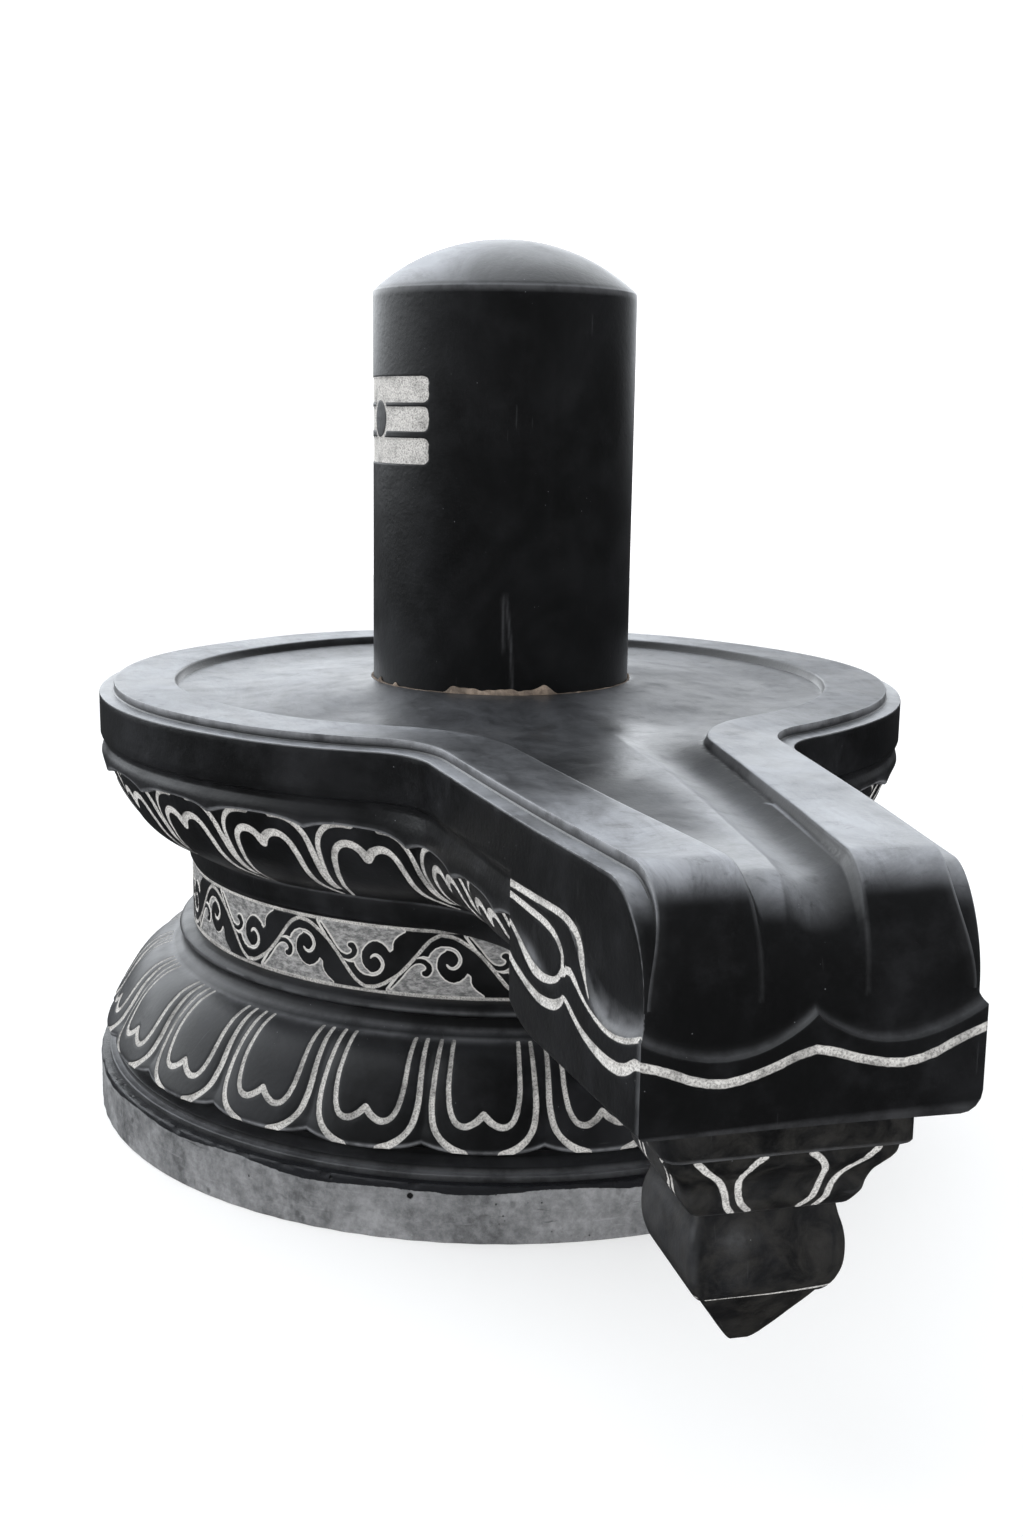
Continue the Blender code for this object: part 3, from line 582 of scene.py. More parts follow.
# Bars: heights above the tray. Scratches: (degrees from the spout, height above the floor)
BARS_AZIMUTH = math.radians(-80.5)
BARS_HALF_SPAN = math.radians(34)
BAR_HEIGHTS = ((0.3290, 0.3650), (0.3760, 0.4098), (0.4172, 0.4530))
BAR_CORNER = 0.009
OVAL_HALF_WIDTH, OVAL_HALF_HEIGHT = 0.0262, 0.0315
SHAFT_SCRATCHES = (
    ((-12.5, 0.712), (-13.0, 0.797)),
    ((-8.6, 0.663), (-9.7, 0.736), (-11.6, 0.795)),
)


def bar_gap(s, azimuth, height):
    """Distance to the cut of the bars: bars with rounded corners, less an oval, plus its thin ring."""
    across = (azimuth - BARS_AZIMUTH) * s.shaft_radius
    up = height - s.tray_top
    half = BARS_HALF_SPAN * s.shaft_radius
    gap = np.full(np.broadcast(across, up).shape, FAR_FROM_LINES)
    for low, high in BAR_HEIGHTS:
        over = np.maximum(low - up, up - high)
        frayed = 0.0006 * np.sin(310 * up + 40 * low) + 0.0003 * np.sin(870 * up + 2.0)
        past = np.abs(across) - half + frayed
        corner = np.hypot(np.maximum(over + BAR_CORNER, 0), np.maximum(past + BAR_CORNER, 0)) - BAR_CORNER
        gap = np.minimum(gap, corner + np.minimum(np.maximum(over, past) + BAR_CORNER, 0))
    middle = sum(BAR_HEIGHTS[1]) / 2
    ring = np.hypot(across / OVAL_HALF_WIDTH, (up - middle) / OVAL_HALF_HEIGHT)
    inside = (ring - 1) * OVAL_HALF_WIDTH
    gap = np.maximum(gap, -inside)
    return np.minimum(gap, np.abs(inside + 0.0015) - 0.0016)


class LINGAM_OT_shaft(bpy.types.Operator):
    """Carve the domed shaft with its three bars and oval."""

    bl_idname = "lingam.shaft"
    bl_label = "Domed shaft"

    def execute(self, context):
        s = sizes()
        radius, height = shaft_profile(s)
        azimuth = np.linspace(-math.pi, math.pi, 420, endpoint=False)
        turn = (azimuth[None] - BARS_AZIMUTH + math.pi) % (2 * math.pi) - math.pi + BARS_AZIMUTH
        gap = np.clip(bar_gap(s, turn, height[:, None]), -FAR_FROM_LINES, FAR_FROM_LINES)
        sunk = 0.0013 * smooth_step(-gap, -0.0010, 0.0016)
        points = turned(radius[:, None] - sunk, height[:, None], azimuth[None])
        edge = s.shaft_top - s.dome_rise
        # A pale line along the dome's edge: rubbed stone and a painted highlight.
        wear = np.exp(-(((height - edge + 0.0005) / 0.0022) ** 2))[:, None] * 0.48
        for path in SHAFT_SCRATCHES:
            turns, levels = np.array(path).T
            along = np.radians(np.interp(height, levels, turns))
            near = (height > levels[0]) & (height < levels[-1])
            wear = wear + 0.22 * np.exp(-(((azimuth - along[:, None]) / 0.009) ** 2)) * near[:, None]
        surface = Surface()
        # Dust on the dome with a painted sheen of the bright sky: more towards its top, most on its left
        # side.
        high = smooth_step(height, s.shaft_top - 0.062, s.shaft_top - 0.004)[:, None]
        left = np.exp(-(((azimuth + 1.30) / 0.70) ** 2))[None]
        dust_and_reflection = 0.03 + 0.47 * high + 1.25 * left * (height > edge)[:, None]
        rows = surface.grid(points, closed=True, line_gap=gap, wear=wear, tone=dust_and_reflection)
        surface.cap(rows[0][::-1])
        surface.cap(rows[-1])
        stone = black_stone(
            "polished_shaft_stone", gloss=0.30, dust_and_reflection=0.0, cloud=0.5, streaks=0.3, level=(0.56, 0.90)
        )
        surface.build("lingam_shaft_stone", stone, "shaft_stone", "lingam_shaft", 0.0004)
        return {"FINISHED"}


class LINGAM_OT_mortar(bpy.types.Operator):
    """Lay the broken ring of mortar round the shaft's foot."""

    bl_idname = "lingam.mortar"
    bl_label = "Mortar ring"

    def execute(self, context):
        s = sizes()
        azimuth = np.linspace(-math.pi, math.pi, 900, endpoint=False)
        degrees = np.degrees(azimuth)
        ragged = 0.5 + 0.25 * np.sin(23 * azimuth) + 0.25 * np.sin(57 * azimuth + 1.0) * np.sin(13 * azimuth)
        flap = smooth_step(degrees, -39, -35) * (1 - smooth_step(degrees, 8, 12))
        peak = np.exp(-(((degrees - 4.8) / 2.2) ** 2)) + 0.6 * np.exp(-(((degrees + 33) / 3.0) ** 2))
        bits = np.exp(-(((degrees + 80) / 1.6) ** 2)) + 0.7 * np.exp(-(((degrees + 65.7) / 1.3) ** 2))
        bits = bits + 0.8 * np.exp(-(((degrees - 77) / 1.5) ** 2))
        rise = 0.0012 * ragged + flap * (0.0050 + 0.0035 * ragged) + 0.006 * peak * flap + 0.007 * bits
        level = s.tray_top - s.floor_at_shaft
        inner = s.shaft_radius + 0.0004
        outer = s.shaft_radius + s.socket_gap - 0.0004
        across = [(inner, -0.012, 0.0), (inner, 0.0, 1.0), (inner + 0.0012, 0.0, 1.0)]
        across += [(outer, -0.0002, 0.45), (outer, -0.012, 0.0)]
        rows = np.stack([turned(r, level + z + rise * share, azimuth) for r, z, share in across])
        surface = Surface()
        index = surface.grid(rows, closed=True)
        ring = np.vstack([index[-1:], index[:1]])
        quads = np.stack([ring[0], np.roll(ring[0], -1), np.roll(ring[1], -1), ring[1]], -1)
        surface.quads.append(quads)
        surface.build("shaft_mortar_ring", old_mortar("old_mortar"), "tan_mortar", "shaft_mortar", 0.0)
        return {"FINISHED"}


# Tray


class TrayPlan:
    """Outline of the tray in plan: a circle, a concave curve that touches it, and the spout's side.

    The side is a straight line whose half width grows by the taper, and a circle of the flare's
    radius touches both. Moving a point inward stays on the outline drawn that much further in.
    """

    def __init__(self, s, traced=0.030):
        self.s = s
        self.slope = math.hypot(1.0, s.spout_taper)
        self.outward = np.array([1.0, s.spout_taper]) / self.slope
        self.forward = np.array([-s.spout_taper, 1.0]) / self.slope
        reach = (s.spout_half_width + s.spout_taper * s.spout_reach) / self.slope
        out = reach + s.flare_radius
        ahead = math.sqrt((s.tray_radius + s.flare_radius) ** 2 - out**2)
        self.centre = out * self.outward + ahead * self.forward
        self.round_end = math.atan2(self.centre[0], self.centre[1])
        self.start = self.centre - s.flare_radius * self.outward
        self.turn = math.pi / 2 - self.round_end - math.atan(s.spout_taper)
        self.straight = (s.block_back - self.start[1]) / self.forward[1]
        self.round_radius = s.tray_radius - traced
        self.flare = s.flare_radius + traced
        round_length = self.round_radius * (math.pi - self.round_end)
        self.ends = np.cumsum([round_length, self.flare * self.turn, self.straight])

    def half_width(self, forward):
        return self.s.spout_half_width + self.s.spout_taper * (self.s.spout_reach - forward)

    def stations(self, trace):
        """Points and inward directions at lengths of the outline from the back, right of it positive."""
        side = np.where(trace < 0, -1.0, 1.0)
        run = np.abs(trace)
        a = math.pi - run / self.round_radius
        b = math.pi + self.round_end + (run - self.ends[0]) / self.flare
        c = np.clip((run - self.ends[1]) / self.straight, 0.0, 1.0)
        radius, s = self.s.tray_radius, self.s
        first = run <= self.ends[0]
        second = run <= self.ends[1]
        x = np.select(
            [first, second],
            [radius * np.sin(a), self.centre[0] + s.flare_radius * np.sin(b)],
            self.start[0] + c * self.straight * self.forward[0],
        )
        y = np.select(
            [first, second],
            [-radius * np.cos(a), -self.centre[1] - s.flare_radius * np.cos(b)],
            -self.start[1] - c * self.straight * self.forward[1],
        )
        slide = c * s.spout_taper
        u = np.select([first, second], [-np.sin(a), np.sin(b)], slide * self.forward[0] - self.outward[0])
        v = np.select([first, second], [np.cos(a), -np.cos(b)], -(slide * self.forward[1] - self.outward[1]))
        return np.stack([side * x, y], -1), np.stack([side * u, v], -1)

    def inner_edge(self, forward):
        """Half width of the floor at a reach: basin circle, then concave curve, then channel side."""
        s = self.s
        inset = s.ledge_width + s.band_width + s.rim_cove
        basin = s.tray_radius - inset
        curve = s.flare_radius + inset
        round_to = basin * math.cos(self.round_end)
        on_circle = np.sqrt(np.clip(basin**2 - forward**2, 0.0, None))
        on_curve = self.centre[0] - np.sqrt(np.clip(curve**2 - (forward - self.centre[1]) ** 2, 0.0, None))
        on_side = self.half_width(forward) - inset * self.slope
        straight_from = self.centre[1] - curve * self.outward[1]
        return np.select([forward < round_to, forward < straight_from], [on_circle, on_curve], on_side)


# Ridge between the channel's floor and its gutter: (reach along the spout, place across)
RIDGE = (
    (0.30, 0.062),
    (0.456, 0.047),
    (0.68, 0.038),
    (0.864, 0.024),
    (1.036, 0.005),
    (1.128, -0.005),
    (1.27, -0.029),
)


def beside_ridge(x, y):
    """How far a place lies to the right of the ridge."""
    return x - np.interp(-y, *np.array(RIDGE).T)


def floor_depth(s, plan, x, y):
    """Depth of the basin and channel floor below the rim.

    The basin falls from its inner wall, then rises to the shaft. The channel is flat on the left of
    a low ridge, and beyond the ridge a gutter sags in a half sine up to the right wall.
    """
    forward = -y
    away = np.hypot(x, y)
    socket = s.shaft_radius + s.socket_gap
    edge = s.tray_radius - s.ledge_width - s.band_width - s.rim_cove
    t = 1 - np.clip((away - socket) / (edge - socket), 0.0, 1.0)
    sunk = s.rim_wall + (s.basin_depth - s.rim_wall) * smooth_step(t, 0.0, 0.34)
    basin = sunk + (s.floor_at_shaft - sunk) * smooth_step(t, 0.10, 1.02)
    half = plan.inner_edge(forward)
    ridge = np.interp(forward, *np.array(RIDGE).T)
    q = np.clip((x - ridge) / np.maximum(half - ridge, 0.01), 0.0, 1.0)
    gutter = s.gutter_sag * np.sin(math.pi * q**0.9) * smooth_step(forward, 0.36, 0.60)
    left = smooth_step(x + half, 0.0, 0.010)
    flat = s.rim_wall + (s.channel_depth - s.rim_wall) * left * (1 - smooth_step(q, 0.55, 1.0))
    channel = flat + gutter
    along = smooth_step(forward, 0.34, 0.60)
    return basin * (1 - along) + channel * along


WALL_SHARES = (0.035, 0.16, 0.30, 0.44, 0.58, 0.72, 0.86, 1.0)
BAND_SHARES = (0.04, 0.15, 0.3, 0.45, 0.6, 0.75, 0.88, 0.965)


def rim_rows(s):
    """Insets and depths from the basin's wall foot out over the rim, the ledge and the wall."""
    ledge = s.ledge_width
    inner = ledge + s.band_width
    rows = [(inner + s.rim_cove, s.rim_wall), (inner + 0.55 * s.rim_cove, s.rim_wall * 0.72)]
    rows += [(inner + 0.22 * s.rim_cove, s.rim_wall * 0.28), (inner + 0.0006, 0.0016)]
    rows += [(inner - 0.0010, 0.0003)]
    rows += [(inner - (inner - ledge) * t, 0.0) for t in BAND_SHARES]
    rows += [(ledge + 0.0006, 0.0003), (ledge, 0.0014), (ledge, s.ledge_drop - 0.0020)]
    rows += [(ledge - 0.0016, s.ledge_drop - 0.0002), (ledge * 0.5, s.ledge_drop)]
    rows += [(0.0022, s.ledge_drop), (0.0006, s.ledge_drop + 0.0006)]
    edge, foot = s.ledge_drop + 0.0006, s.ledge_drop + s.wall_height
    walls = edge + (foot - edge) * np.array(WALL_SHARES)
    return np.array(rows + [(0.0, depth) for depth in walls])


def roll(s, forward):
    """How far the spout's top has rolled down: a quarter of an ellipse."""
    start = s.spout_reach - s.lip_flare - s.roll_length
    t = np.clip((forward - start) / s.roll_length, 0.0, 1.0)
    return s.roll_drop * (1 - np.sqrt(np.maximum(0.0, 1 - t * t)))


def side_lip(s, forward, sign):
    """Depth of the step on the block's side: level at the back, a deep lobe near the front."""
    back = s.ledge_drop + s.wall_height + s.wall_round
    dive = smooth_step(forward, s.spout_reach - 0.195, s.spout_reach - 0.085)
    rise = smooth_step(forward, s.spout_reach - 0.060, s.spout_reach)
    return back + (0.158 - back) * dive - (0.158 - front_lip(s, sign * s.spout_half_width)) * rise


def side_flare(s, forward):
    """Height of the hollow over the side's step: the wall's round, eased to 14 mm at the roll."""
    grown = smooth_step(forward, s.block_back, s.spout_reach - s.roll_length)
    return s.wall_round + (0.014 - s.wall_round) * grown


FRONT_LEAN = 0.040


def front_lip(s, across):
    """Depth of the scalloped step on the front: a lobe on each side and a cusp in the middle."""
    t = np.abs(across) / s.spout_half_width
    edge = 0.131 + (0.140 - 0.131) * t
    lobes = edge + (0.167 - edge) * np.sin(math.pi * np.minimum(1.0, t)) ** 0.8
    return lobes - FRONT_LEAN * across


def block_underside(s, forward):
    """Depth of the block's underside: level, and rising as a square in the last 80 mm to the back."""
    back = np.maximum(0.0, 1 - (forward - s.block_back) / 0.080)
    return s.block_drop - 0.024 * back * back


def mirrored(line):
    """The same line on the other side of its middle."""
    return line * np.array([-1.0, 1.0, 1.0])


def side_lines():
    """Chiselled lines on the block's side: (reach, depth below the rim, half width)."""
    outer = [(0.905, 0.0870, 0.0036), (0.995, 0.0835, 0.0034), (1.060, 0.0812, 0.0032)]
    outer += [(1.084, 0.0845, 0.0030), (1.101, 0.0925, 0.0027), (1.112, 0.1060, 0.0024)]
    outer += [(1.119, 0.1180, 0.0020), (1.131, 0.1340, 0.0013), (1.139, 0.1460, 0.0005)]
    lip = [(1.072, 0.1425, 0.0020), (1.078, 0.1355, 0.0032), (1.089, 0.1330, 0.0038)]
    lip += [(1.101, 0.1375, 0.0036), (1.112, 0.1440, 0.0024), (1.132, 0.1530, 0.0018)]
    lip += [(1.155, 0.1590, 0.0020), (1.181, 0.1622, 0.0022), (1.205, 0.1605, 0.0022)]
    lip += [(1.228, 0.1550, 0.0022), (1.256, 0.1440, 0.0022)]
    leaf = [(0.905, 0.0985, 0.0028), (0.968, 0.1000, 0.0034), (1.021, 0.1018, 0.0036)]
    leaf += [(1.050, 0.1075, 0.0034), (1.066, 0.1180, 0.0030), (1.070, 0.1290, 0.0028)]
    leaf += [(1.065, 0.1420, 0.0026), (1.050, 0.1535, 0.0028), (1.022, 0.1605, 0.0042)]
    leaf += [(0.992, 0.1600, 0.0058), (0.968, 0.1520, 0.0050), (0.945, 0.1400, 0.0032)]
    leaf += [(0.922, 0.1300, 0.0022), (0.905, 0.1229, 0.0020)]
    low = [(0.898, 0.1440, 0.0026), (0.924, 0.1690, 0.0034), (0.973, 0.1830, 0.0042)]
    low += [(1.010, 0.1868, 0.0048), (1.045, 0.1815, 0.0050), (1.066, 0.1715, 0.0036)]
    low += [(1.0725, 0.1640, 0.0016)]
    end = [(1.0725, 0.1640, 0.0014), (1.085, 0.1682, 0.0026), (1.120, 0.1831, 0.0034)]
    end += [(1.165, 0.1905, 0.0052), (1.203, 0.1895, 0.0056), (1.227, 0.1825, 0.0050)]
    end += [(1.246, 0.1712, 0.0046), (1.262, 0.1672, 0.0044)]
    return [curve_through(points) for points in (outer, lip, leaf, low, end)]


def side_brushed_and_highlight(reach, depth):
    """Light streaks in the hollow over the lip and inside the leaf's lower edge: brushed stone with a
    painted highlight.
    """
    hollow = np.interp(reach, (1.10, 1.13, 1.18, 1.23, 1.26), (0.130, 0.147, 0.155, 0.149, 0.135))
    over = np.exp(-(((depth - hollow + 0.004) / 0.010) ** 2)) * (depth < hollow + 0.004)
    over = over * smooth_step(reach, 1.125, 1.165)
    slant = depth - 0.146 - 0.25 * (reach - 0.985)
    leaf = np.exp(-(((reach - 0.985) / 0.035) ** 2) - (slant / 0.009) ** 2)
    return 0.55 * over + 0.6 * leaf


def front_lines(s):
    """The pale line under the front's lobes: (across, depth, half width)."""
    half = [(0.0, 0.1655), (0.020, 0.1705), (0.048, 0.1805), (0.085, 0.1880)]
    half += [(0.115, 0.1830), (0.145, 0.1700), (0.173, 0.1605)]
    right = curve_through([(a, b, 0.0037) for a, b in half])
    lines = [right, mirrored(right)]
    for line in lines:
        line[:, 1] -= FRONT_LEAN * line[:, 0]
    return lines


def tray_dust_and_reflection(x, y):
    """How dusty the floor is, which also paints its reflections: most at the left of the basin and on the
    ridge, least before the shaft where the shaft's dark reflection lies.
    """
    away = np.hypot(x, y)
    around = np.arctan2(x, -y)
    left = np.exp(-(((around + 1.75) / 0.85) ** 2)) * smooth_step(away, 0.20, 0.32)
    back = 0.55 * (1 - smooth_step(np.abs(around), 1.5, 2.3)) + 0.45
    basin = 0.18 + 0.46 * left + 0.15 * (1 - back) + 0.10 * smooth_step(around, 0.05, 0.55)
    trough = smooth_step(-y, 0.46, 0.66)
    aside = beside_ridge(x, y) - 0.004
    crest = np.where(aside > 0, np.exp(-((aside / 0.036) ** 2)), 1 / (1 + (aside / 0.040) ** 2))
    front = 0.75 * smooth_step(-y, 0.90, 1.12) * smooth_step(-aside, -0.020, 0.010)
    floor = (0.52 + 0.12 * smooth_step(-y, 0.82, 0.92)) * np.maximum(crest, front)
    return basin * (1 - trough) + floor * trough


def tray_matt(x, y):
    """How matt the tray's level places are: most to the right of the shaft and in the gutter."""
    around = np.arctan2(x, -y)
    basin = 0.34 * smooth_step(around, 0.10, 0.50) + 0.10 * (1 - smooth_step(around, -1.2, -0.7))
    basin = basin + 0.22 * np.exp(-(((around + 0.9) / 0.2) ** 2))
    aside = beside_ridge(x, y) - 0.010
    gutter = 0.75 * smooth_step(aside, 0.0, 0.055) * (np.hypot(x, y) > 0.3)
    trough = smooth_step(-y, 0.46, 0.70)
    midway = smooth_step(-y, 0.70, 0.85) * (1 - smooth_step(-y, 0.98, 1.12))
    beside = 0.42 * smooth_step(-aside, 0.005, 0.06) * midway
    return basin * (1 - trough) + (gutter + beside) * trough


def left_band_dust_and_reflection(forward):
    """Share of the dust on the spout's left band: little where the shaft is mirrored in it, so that the dust
    paints the shaft's dark reflection.
    """
    return 1 - 0.74 * smooth_step(forward, 0.40, 0.58) * (1 - smooth_step(forward, 0.80, 1.12))


SIDE_CUTS = {1: 0.022, -1: 0.006}
LIP_HOLLOW = 0.014
LINE_DEPTH = 0.0018


class TrayTop:
    """The tray's top as one closed surface: plate, block, its sides and front, basin and channel.

    The rim is a profile carried along the plan's outline. The block is a row of cross-sections, its
    sides hang from them, and the front carries the sides' rows across under the roll.
    """

    def __init__(self, s):
        self.s = s
        self.plan = TrayPlan(s)
        self.surface = Surface()
        self.rim = rim_rows(s)
        self.wall = np.concatenate([[0.0], WALL_SHARES])
        self.hollow = np.linspace(0, 1, 6)[1:]
        self.below = np.linspace(0, 1, 42)[1:]
        self.turn = np.linspace(0, math.pi / 2, 5)[1:]
        self.lay_plate()
        self.lay_block()
        self.sides = {sign: self.lay_side(sign) for sign in SIDE_CUTS}
        self.lay_front()
        self.close_block()
        self.lay_floor()

    def lay_plate(self):
        """Rim, ledge and wall round the plate."""
        s = self.s
        trace = np.linspace(-self.plan.ends[-1], self.plan.ends[-1], 880)
        point, inward = self.plan.stations(trace)
        under = np.array([(0.0012, 0.0768), (0.0040, 0.0795), (0.030, 0.0850)])
        inset, drop = np.vstack([self.rim, under]).T
        flat = point[None] + inset[:, None, None] * inward[None]
        height = np.broadcast_to(s.tray_top - drop[:, None], flat.shape[:2])
        # Pale lines on the ledge's edge, the rim's inner edge and the wall's top: rubbed stone and painted
        # highlights.
        edges = np.exp(-(((inset - s.ledge_width) / 0.0020) ** 2)) * (drop < 0.004)
        edges = edges + 0.3 * np.exp(-(((inset - s.ledge_width - s.band_width) / 0.0016) ** 2))
        outmost = np.exp(-(((inset - 0.0006) / 0.0010) ** 2)) * (drop < s.ledge_drop + 0.001)
        edges = edges + 0.8 * outmost
        dust_and_reflection, matt = self.plate_finish(inset, drop, flat)
        self.plate = self.surface.grid(np.dstack([flat, height]), wear=edges[:, None], tone=dust_and_reflection, matt=matt)
        self.edges = edges
        self.inner_ring = np.column_stack([flat[0], height[0]])

    def plate_finish(self, inset, drop, flat):
        """Dust and dullness of the plate: dusty on the rim and the ledge, nearly clean on the wall. The
        rim's dust also paints reflections: less on the left band where the shaft is mirrored.
        """
        s = self.s
        x, y = flat[..., 0], flat[..., 1]
        on_rim = ((inset > 0.0215) & (inset < s.ledge_width + s.band_width + 0.001))[:, None]
        on_ledge = ((inset < 0.0215) & (np.abs(drop - s.ledge_drop) < 0.001))[:, None]
        around = np.arctan2(x, -y)
        right = smooth_step(around, 0.30, 0.80) * (1 - smooth_step(around, 2.0, 2.6))
        rim_dust_and_reflection = np.maximum(0.86 - 0.42 * right, 0.95 * smooth_step(-y, 0.62, 0.80) * (x > 0))
        # The left rim's dust is cut where the shaft is mirrored, painting its dark reflection.
        rim_dust_and_reflection = rim_dust_and_reflection * np.where(x < 0, left_band_dust_and_reflection(-y), 1.0)
        dust_and_reflection = np.select([on_rim, on_ledge], [rim_dust_and_reflection, 0.72], tray_dust_and_reflection(x, y) * 0.3)
        matt = (0.08 + 0.30 * right) * (1 - smooth_step(-y, 0.55, 0.75)) * on_rim
        return dust_and_reflection, matt

    def lay_block(self):
        """Cross-sections of the block's top, from its back to the end of the roll."""
        s = self.s
        flat_end = s.spout_reach - s.lip_flare - s.roll_length
        on_flat = np.linspace(s.block_back, flat_end, 56, endpoint=False)
        on_roll = flat_end + s.roll_length * np.sin(np.linspace(0, math.pi / 2, 40))
        reach = np.concatenate([on_flat, on_roll])
        rolled = roll(s, reach)[:, None]
        fade = 1 - smooth_step(rolled / s.roll_drop, 0.0, 1.0)
        pinch = 1 - 0.85 * smooth_step(rolled / s.roll_drop, 0.1, 1.0)
        half = self.plan.half_width(reach)[:, None]
        pull = 0.006 * smooth_step(reach, s.block_back, s.spout_reach)[:, None]

        # The rim's rows, pinched towards the roll's end
        distance, drop = self.rim[: len(self.rim) - len(WALL_SHARES)].T[:, None]
        wide = distance > s.ledge_width
        band = s.ledge_width + s.band_width
        spread = (band - s.ledge_width * pinch) / s.band_width
        reach_in = np.where(wide, distance, distance * pinch)
        reach_in = np.where(wide & (distance < band), band - (band - distance) * spread, reach_in)
        lowered = np.where(wide, drop * fade, drop * pinch)
        across = half - pull - reach_in * self.plan.slope

        # The channel's floor between them
        floor_x = np.linspace(-1, 1, 62)[None, 1:-1] * across[:, :1]
        floor_y = np.broadcast_to(-reach[:, None], floor_x.shape)
        bed = fade * floor_depth(s, self.plan, floor_x, floor_y)

        x = np.hstack([-across[:, ::-1], floor_x, across])
        depth = np.hstack([lowered[:, ::-1], bed, lowered]) + rolled
        y = np.broadcast_to(-reach[:, None], x.shape)
        # The rim's pale edge lines, rubbed stone and painted highlights, fading along the roll.
        edge_wear = np.broadcast_to(self.edges[: distance.size], across.shape)
        wear = np.hstack([edge_wear[:, ::-1], np.zeros_like(floor_x), edge_wear])
        band_dust = np.where(distance > 0.0215, 0.95, 0.70) + 0 * across
        # The left band's dust is cut where the shaft is mirrored, painting its dark reflection.
        left_dust_and_reflection = band_dust * left_band_dust_and_reflection(reach)[:, None]
        dust_and_reflection = np.hstack([left_dust_and_reflection[:, ::-1], tray_dust_and_reflection(floor_x, floor_y), band_dust])
        matt = np.hstack([0 * across, tray_matt(floor_x, floor_y), 0 * across])
        points = np.dstack([x, y, s.tray_top - depth])
        self.surface.grid(points, wear=wear * (0.2 + 0.8 * fade**2), tone=dust_and_reflection, matt=matt)
        self.reach, self.half, self.pull, self.x, self.depth = reach, half, pull, x, depth
        self.channel_start = np.column_stack([floor_x[0], floor_y[0], s.tray_top - bed[0]])

    def lay_side(self, sign):
        """One side of the block: the wall, the hollow over the step, then the carved side.

        Returns the half widths, depths and reaches of its last column, where it meets the front, and
        the numbers of its points.
        """
        s, reach, pull = self.s, self.reach, self.pull
        wall_top = self.depth[:, -1]
        lip = side_lip(s, reach, sign)
        flare_top = lip - side_flare(s, reach)
        cut = SIDE_CUTS[sign] * smooth_step(reach, s.block_back, s.block_back + 0.08)
        shoulder = block_underside(s, reach) - cut
        out = 1 - self.hollow[None] ** 2.2
        wall_depth = wall_top[:, None] + (flare_top - wall_top)[:, None] * self.wall[None]
        hollow_depth = flare_top[:, None] + (lip - flare_top)[:, None] * self.hollow[None]
        side_depth = lip[:, None] + (shoulder - lip)[:, None] * self.below[None]
        corner_depth = shoulder[:, None] + cut[:, None] * np.sin(self.turn[None])
        corner_in = cut[:, None] * (1 - np.cos(self.turn[None]))
        wall_in = np.broadcast_to(pull, wall_depth.shape)
        in_rows = np.hstack([wall_in, pull * out, np.zeros_like(side_depth), corner_in])
        side_x = sign * (self.half - in_rows)
        side_x[:, 0] = sign * self.x[:, -1]
        side_y = np.broadcast_to(-reach[:, None], side_x.shape)
        side_depths = np.hstack([wall_depth, hollow_depth, side_depth, corner_depth])

        end_half, end_depth, end_reach = self.front_column(sign)
        all_x = np.vstack([side_x, sign * end_half])
        all_y = np.vstack([side_y, -end_reach])
        all_depth = np.vstack([side_depths, end_depth])
        gap = gap_to_lines(np.stack([-all_y, all_depth], -1), side_lines())
        sunk = LINE_DEPTH * smooth_step(-gap, -0.0020, 0.0022)
        sunk[:, [0, -1, -2, -3, -4]] = 0.0
        sunk[[0, -1]] = 0.0
        # Brushed streaks and the painted highlight in the side's hollow, then pale rubbed edges.
        wear = side_brushed_and_highlight(-all_y, all_depth)
        wear[-1] = np.maximum(wear[-1], 0.4)
        wear[:, 0] = 0.6
        points = np.dstack([all_x - sign * sunk, all_y, s.tray_top - all_depth])
        return end_half, end_depth, end_reach, self.surface.grid(points, line_gap=gap, wear=wear)

    def front_column(self, sign):
        """Half widths, depths and reaches down the corner where a side meets the front."""
        s, pull, cut = self.s, self.pull[-1, 0], SIDE_CUTS[sign]
        start = self.depth[-1, -1]
        corner = s.block_drop - cut
        lip = front_lip(s, sign * s.spout_half_width)
        top = lip - LIP_HOLLOW
        end_depth = [start + (top - start) * self.wall, top + (lip - top) * self.hollow]
        end_depth += [lip + (corner - lip) * self.below, corner + cut * np.sin(self.turn)]
        end_in = [np.full(self.wall.size, pull), pull * (1 - self.hollow**2.2)]
        end_in += [np.zeros(self.below.size), cut * (1 - np.cos(self.turn))]
        end_reach = [np.full(self.wall.size, self.reach[-1])]
        end_reach += [self.reach[-1] + s.lip_flare * self.hollow**2.2]
        end_reach += [np.full(self.below.size + self.turn.size, s.spout_reach)]
        end_half = s.spout_half_width - np.concatenate(end_in)
        end_half[0] = self.x[-1, -1]
        return end_half, np.concatenate(end_depth), np.concatenate(end_reach)

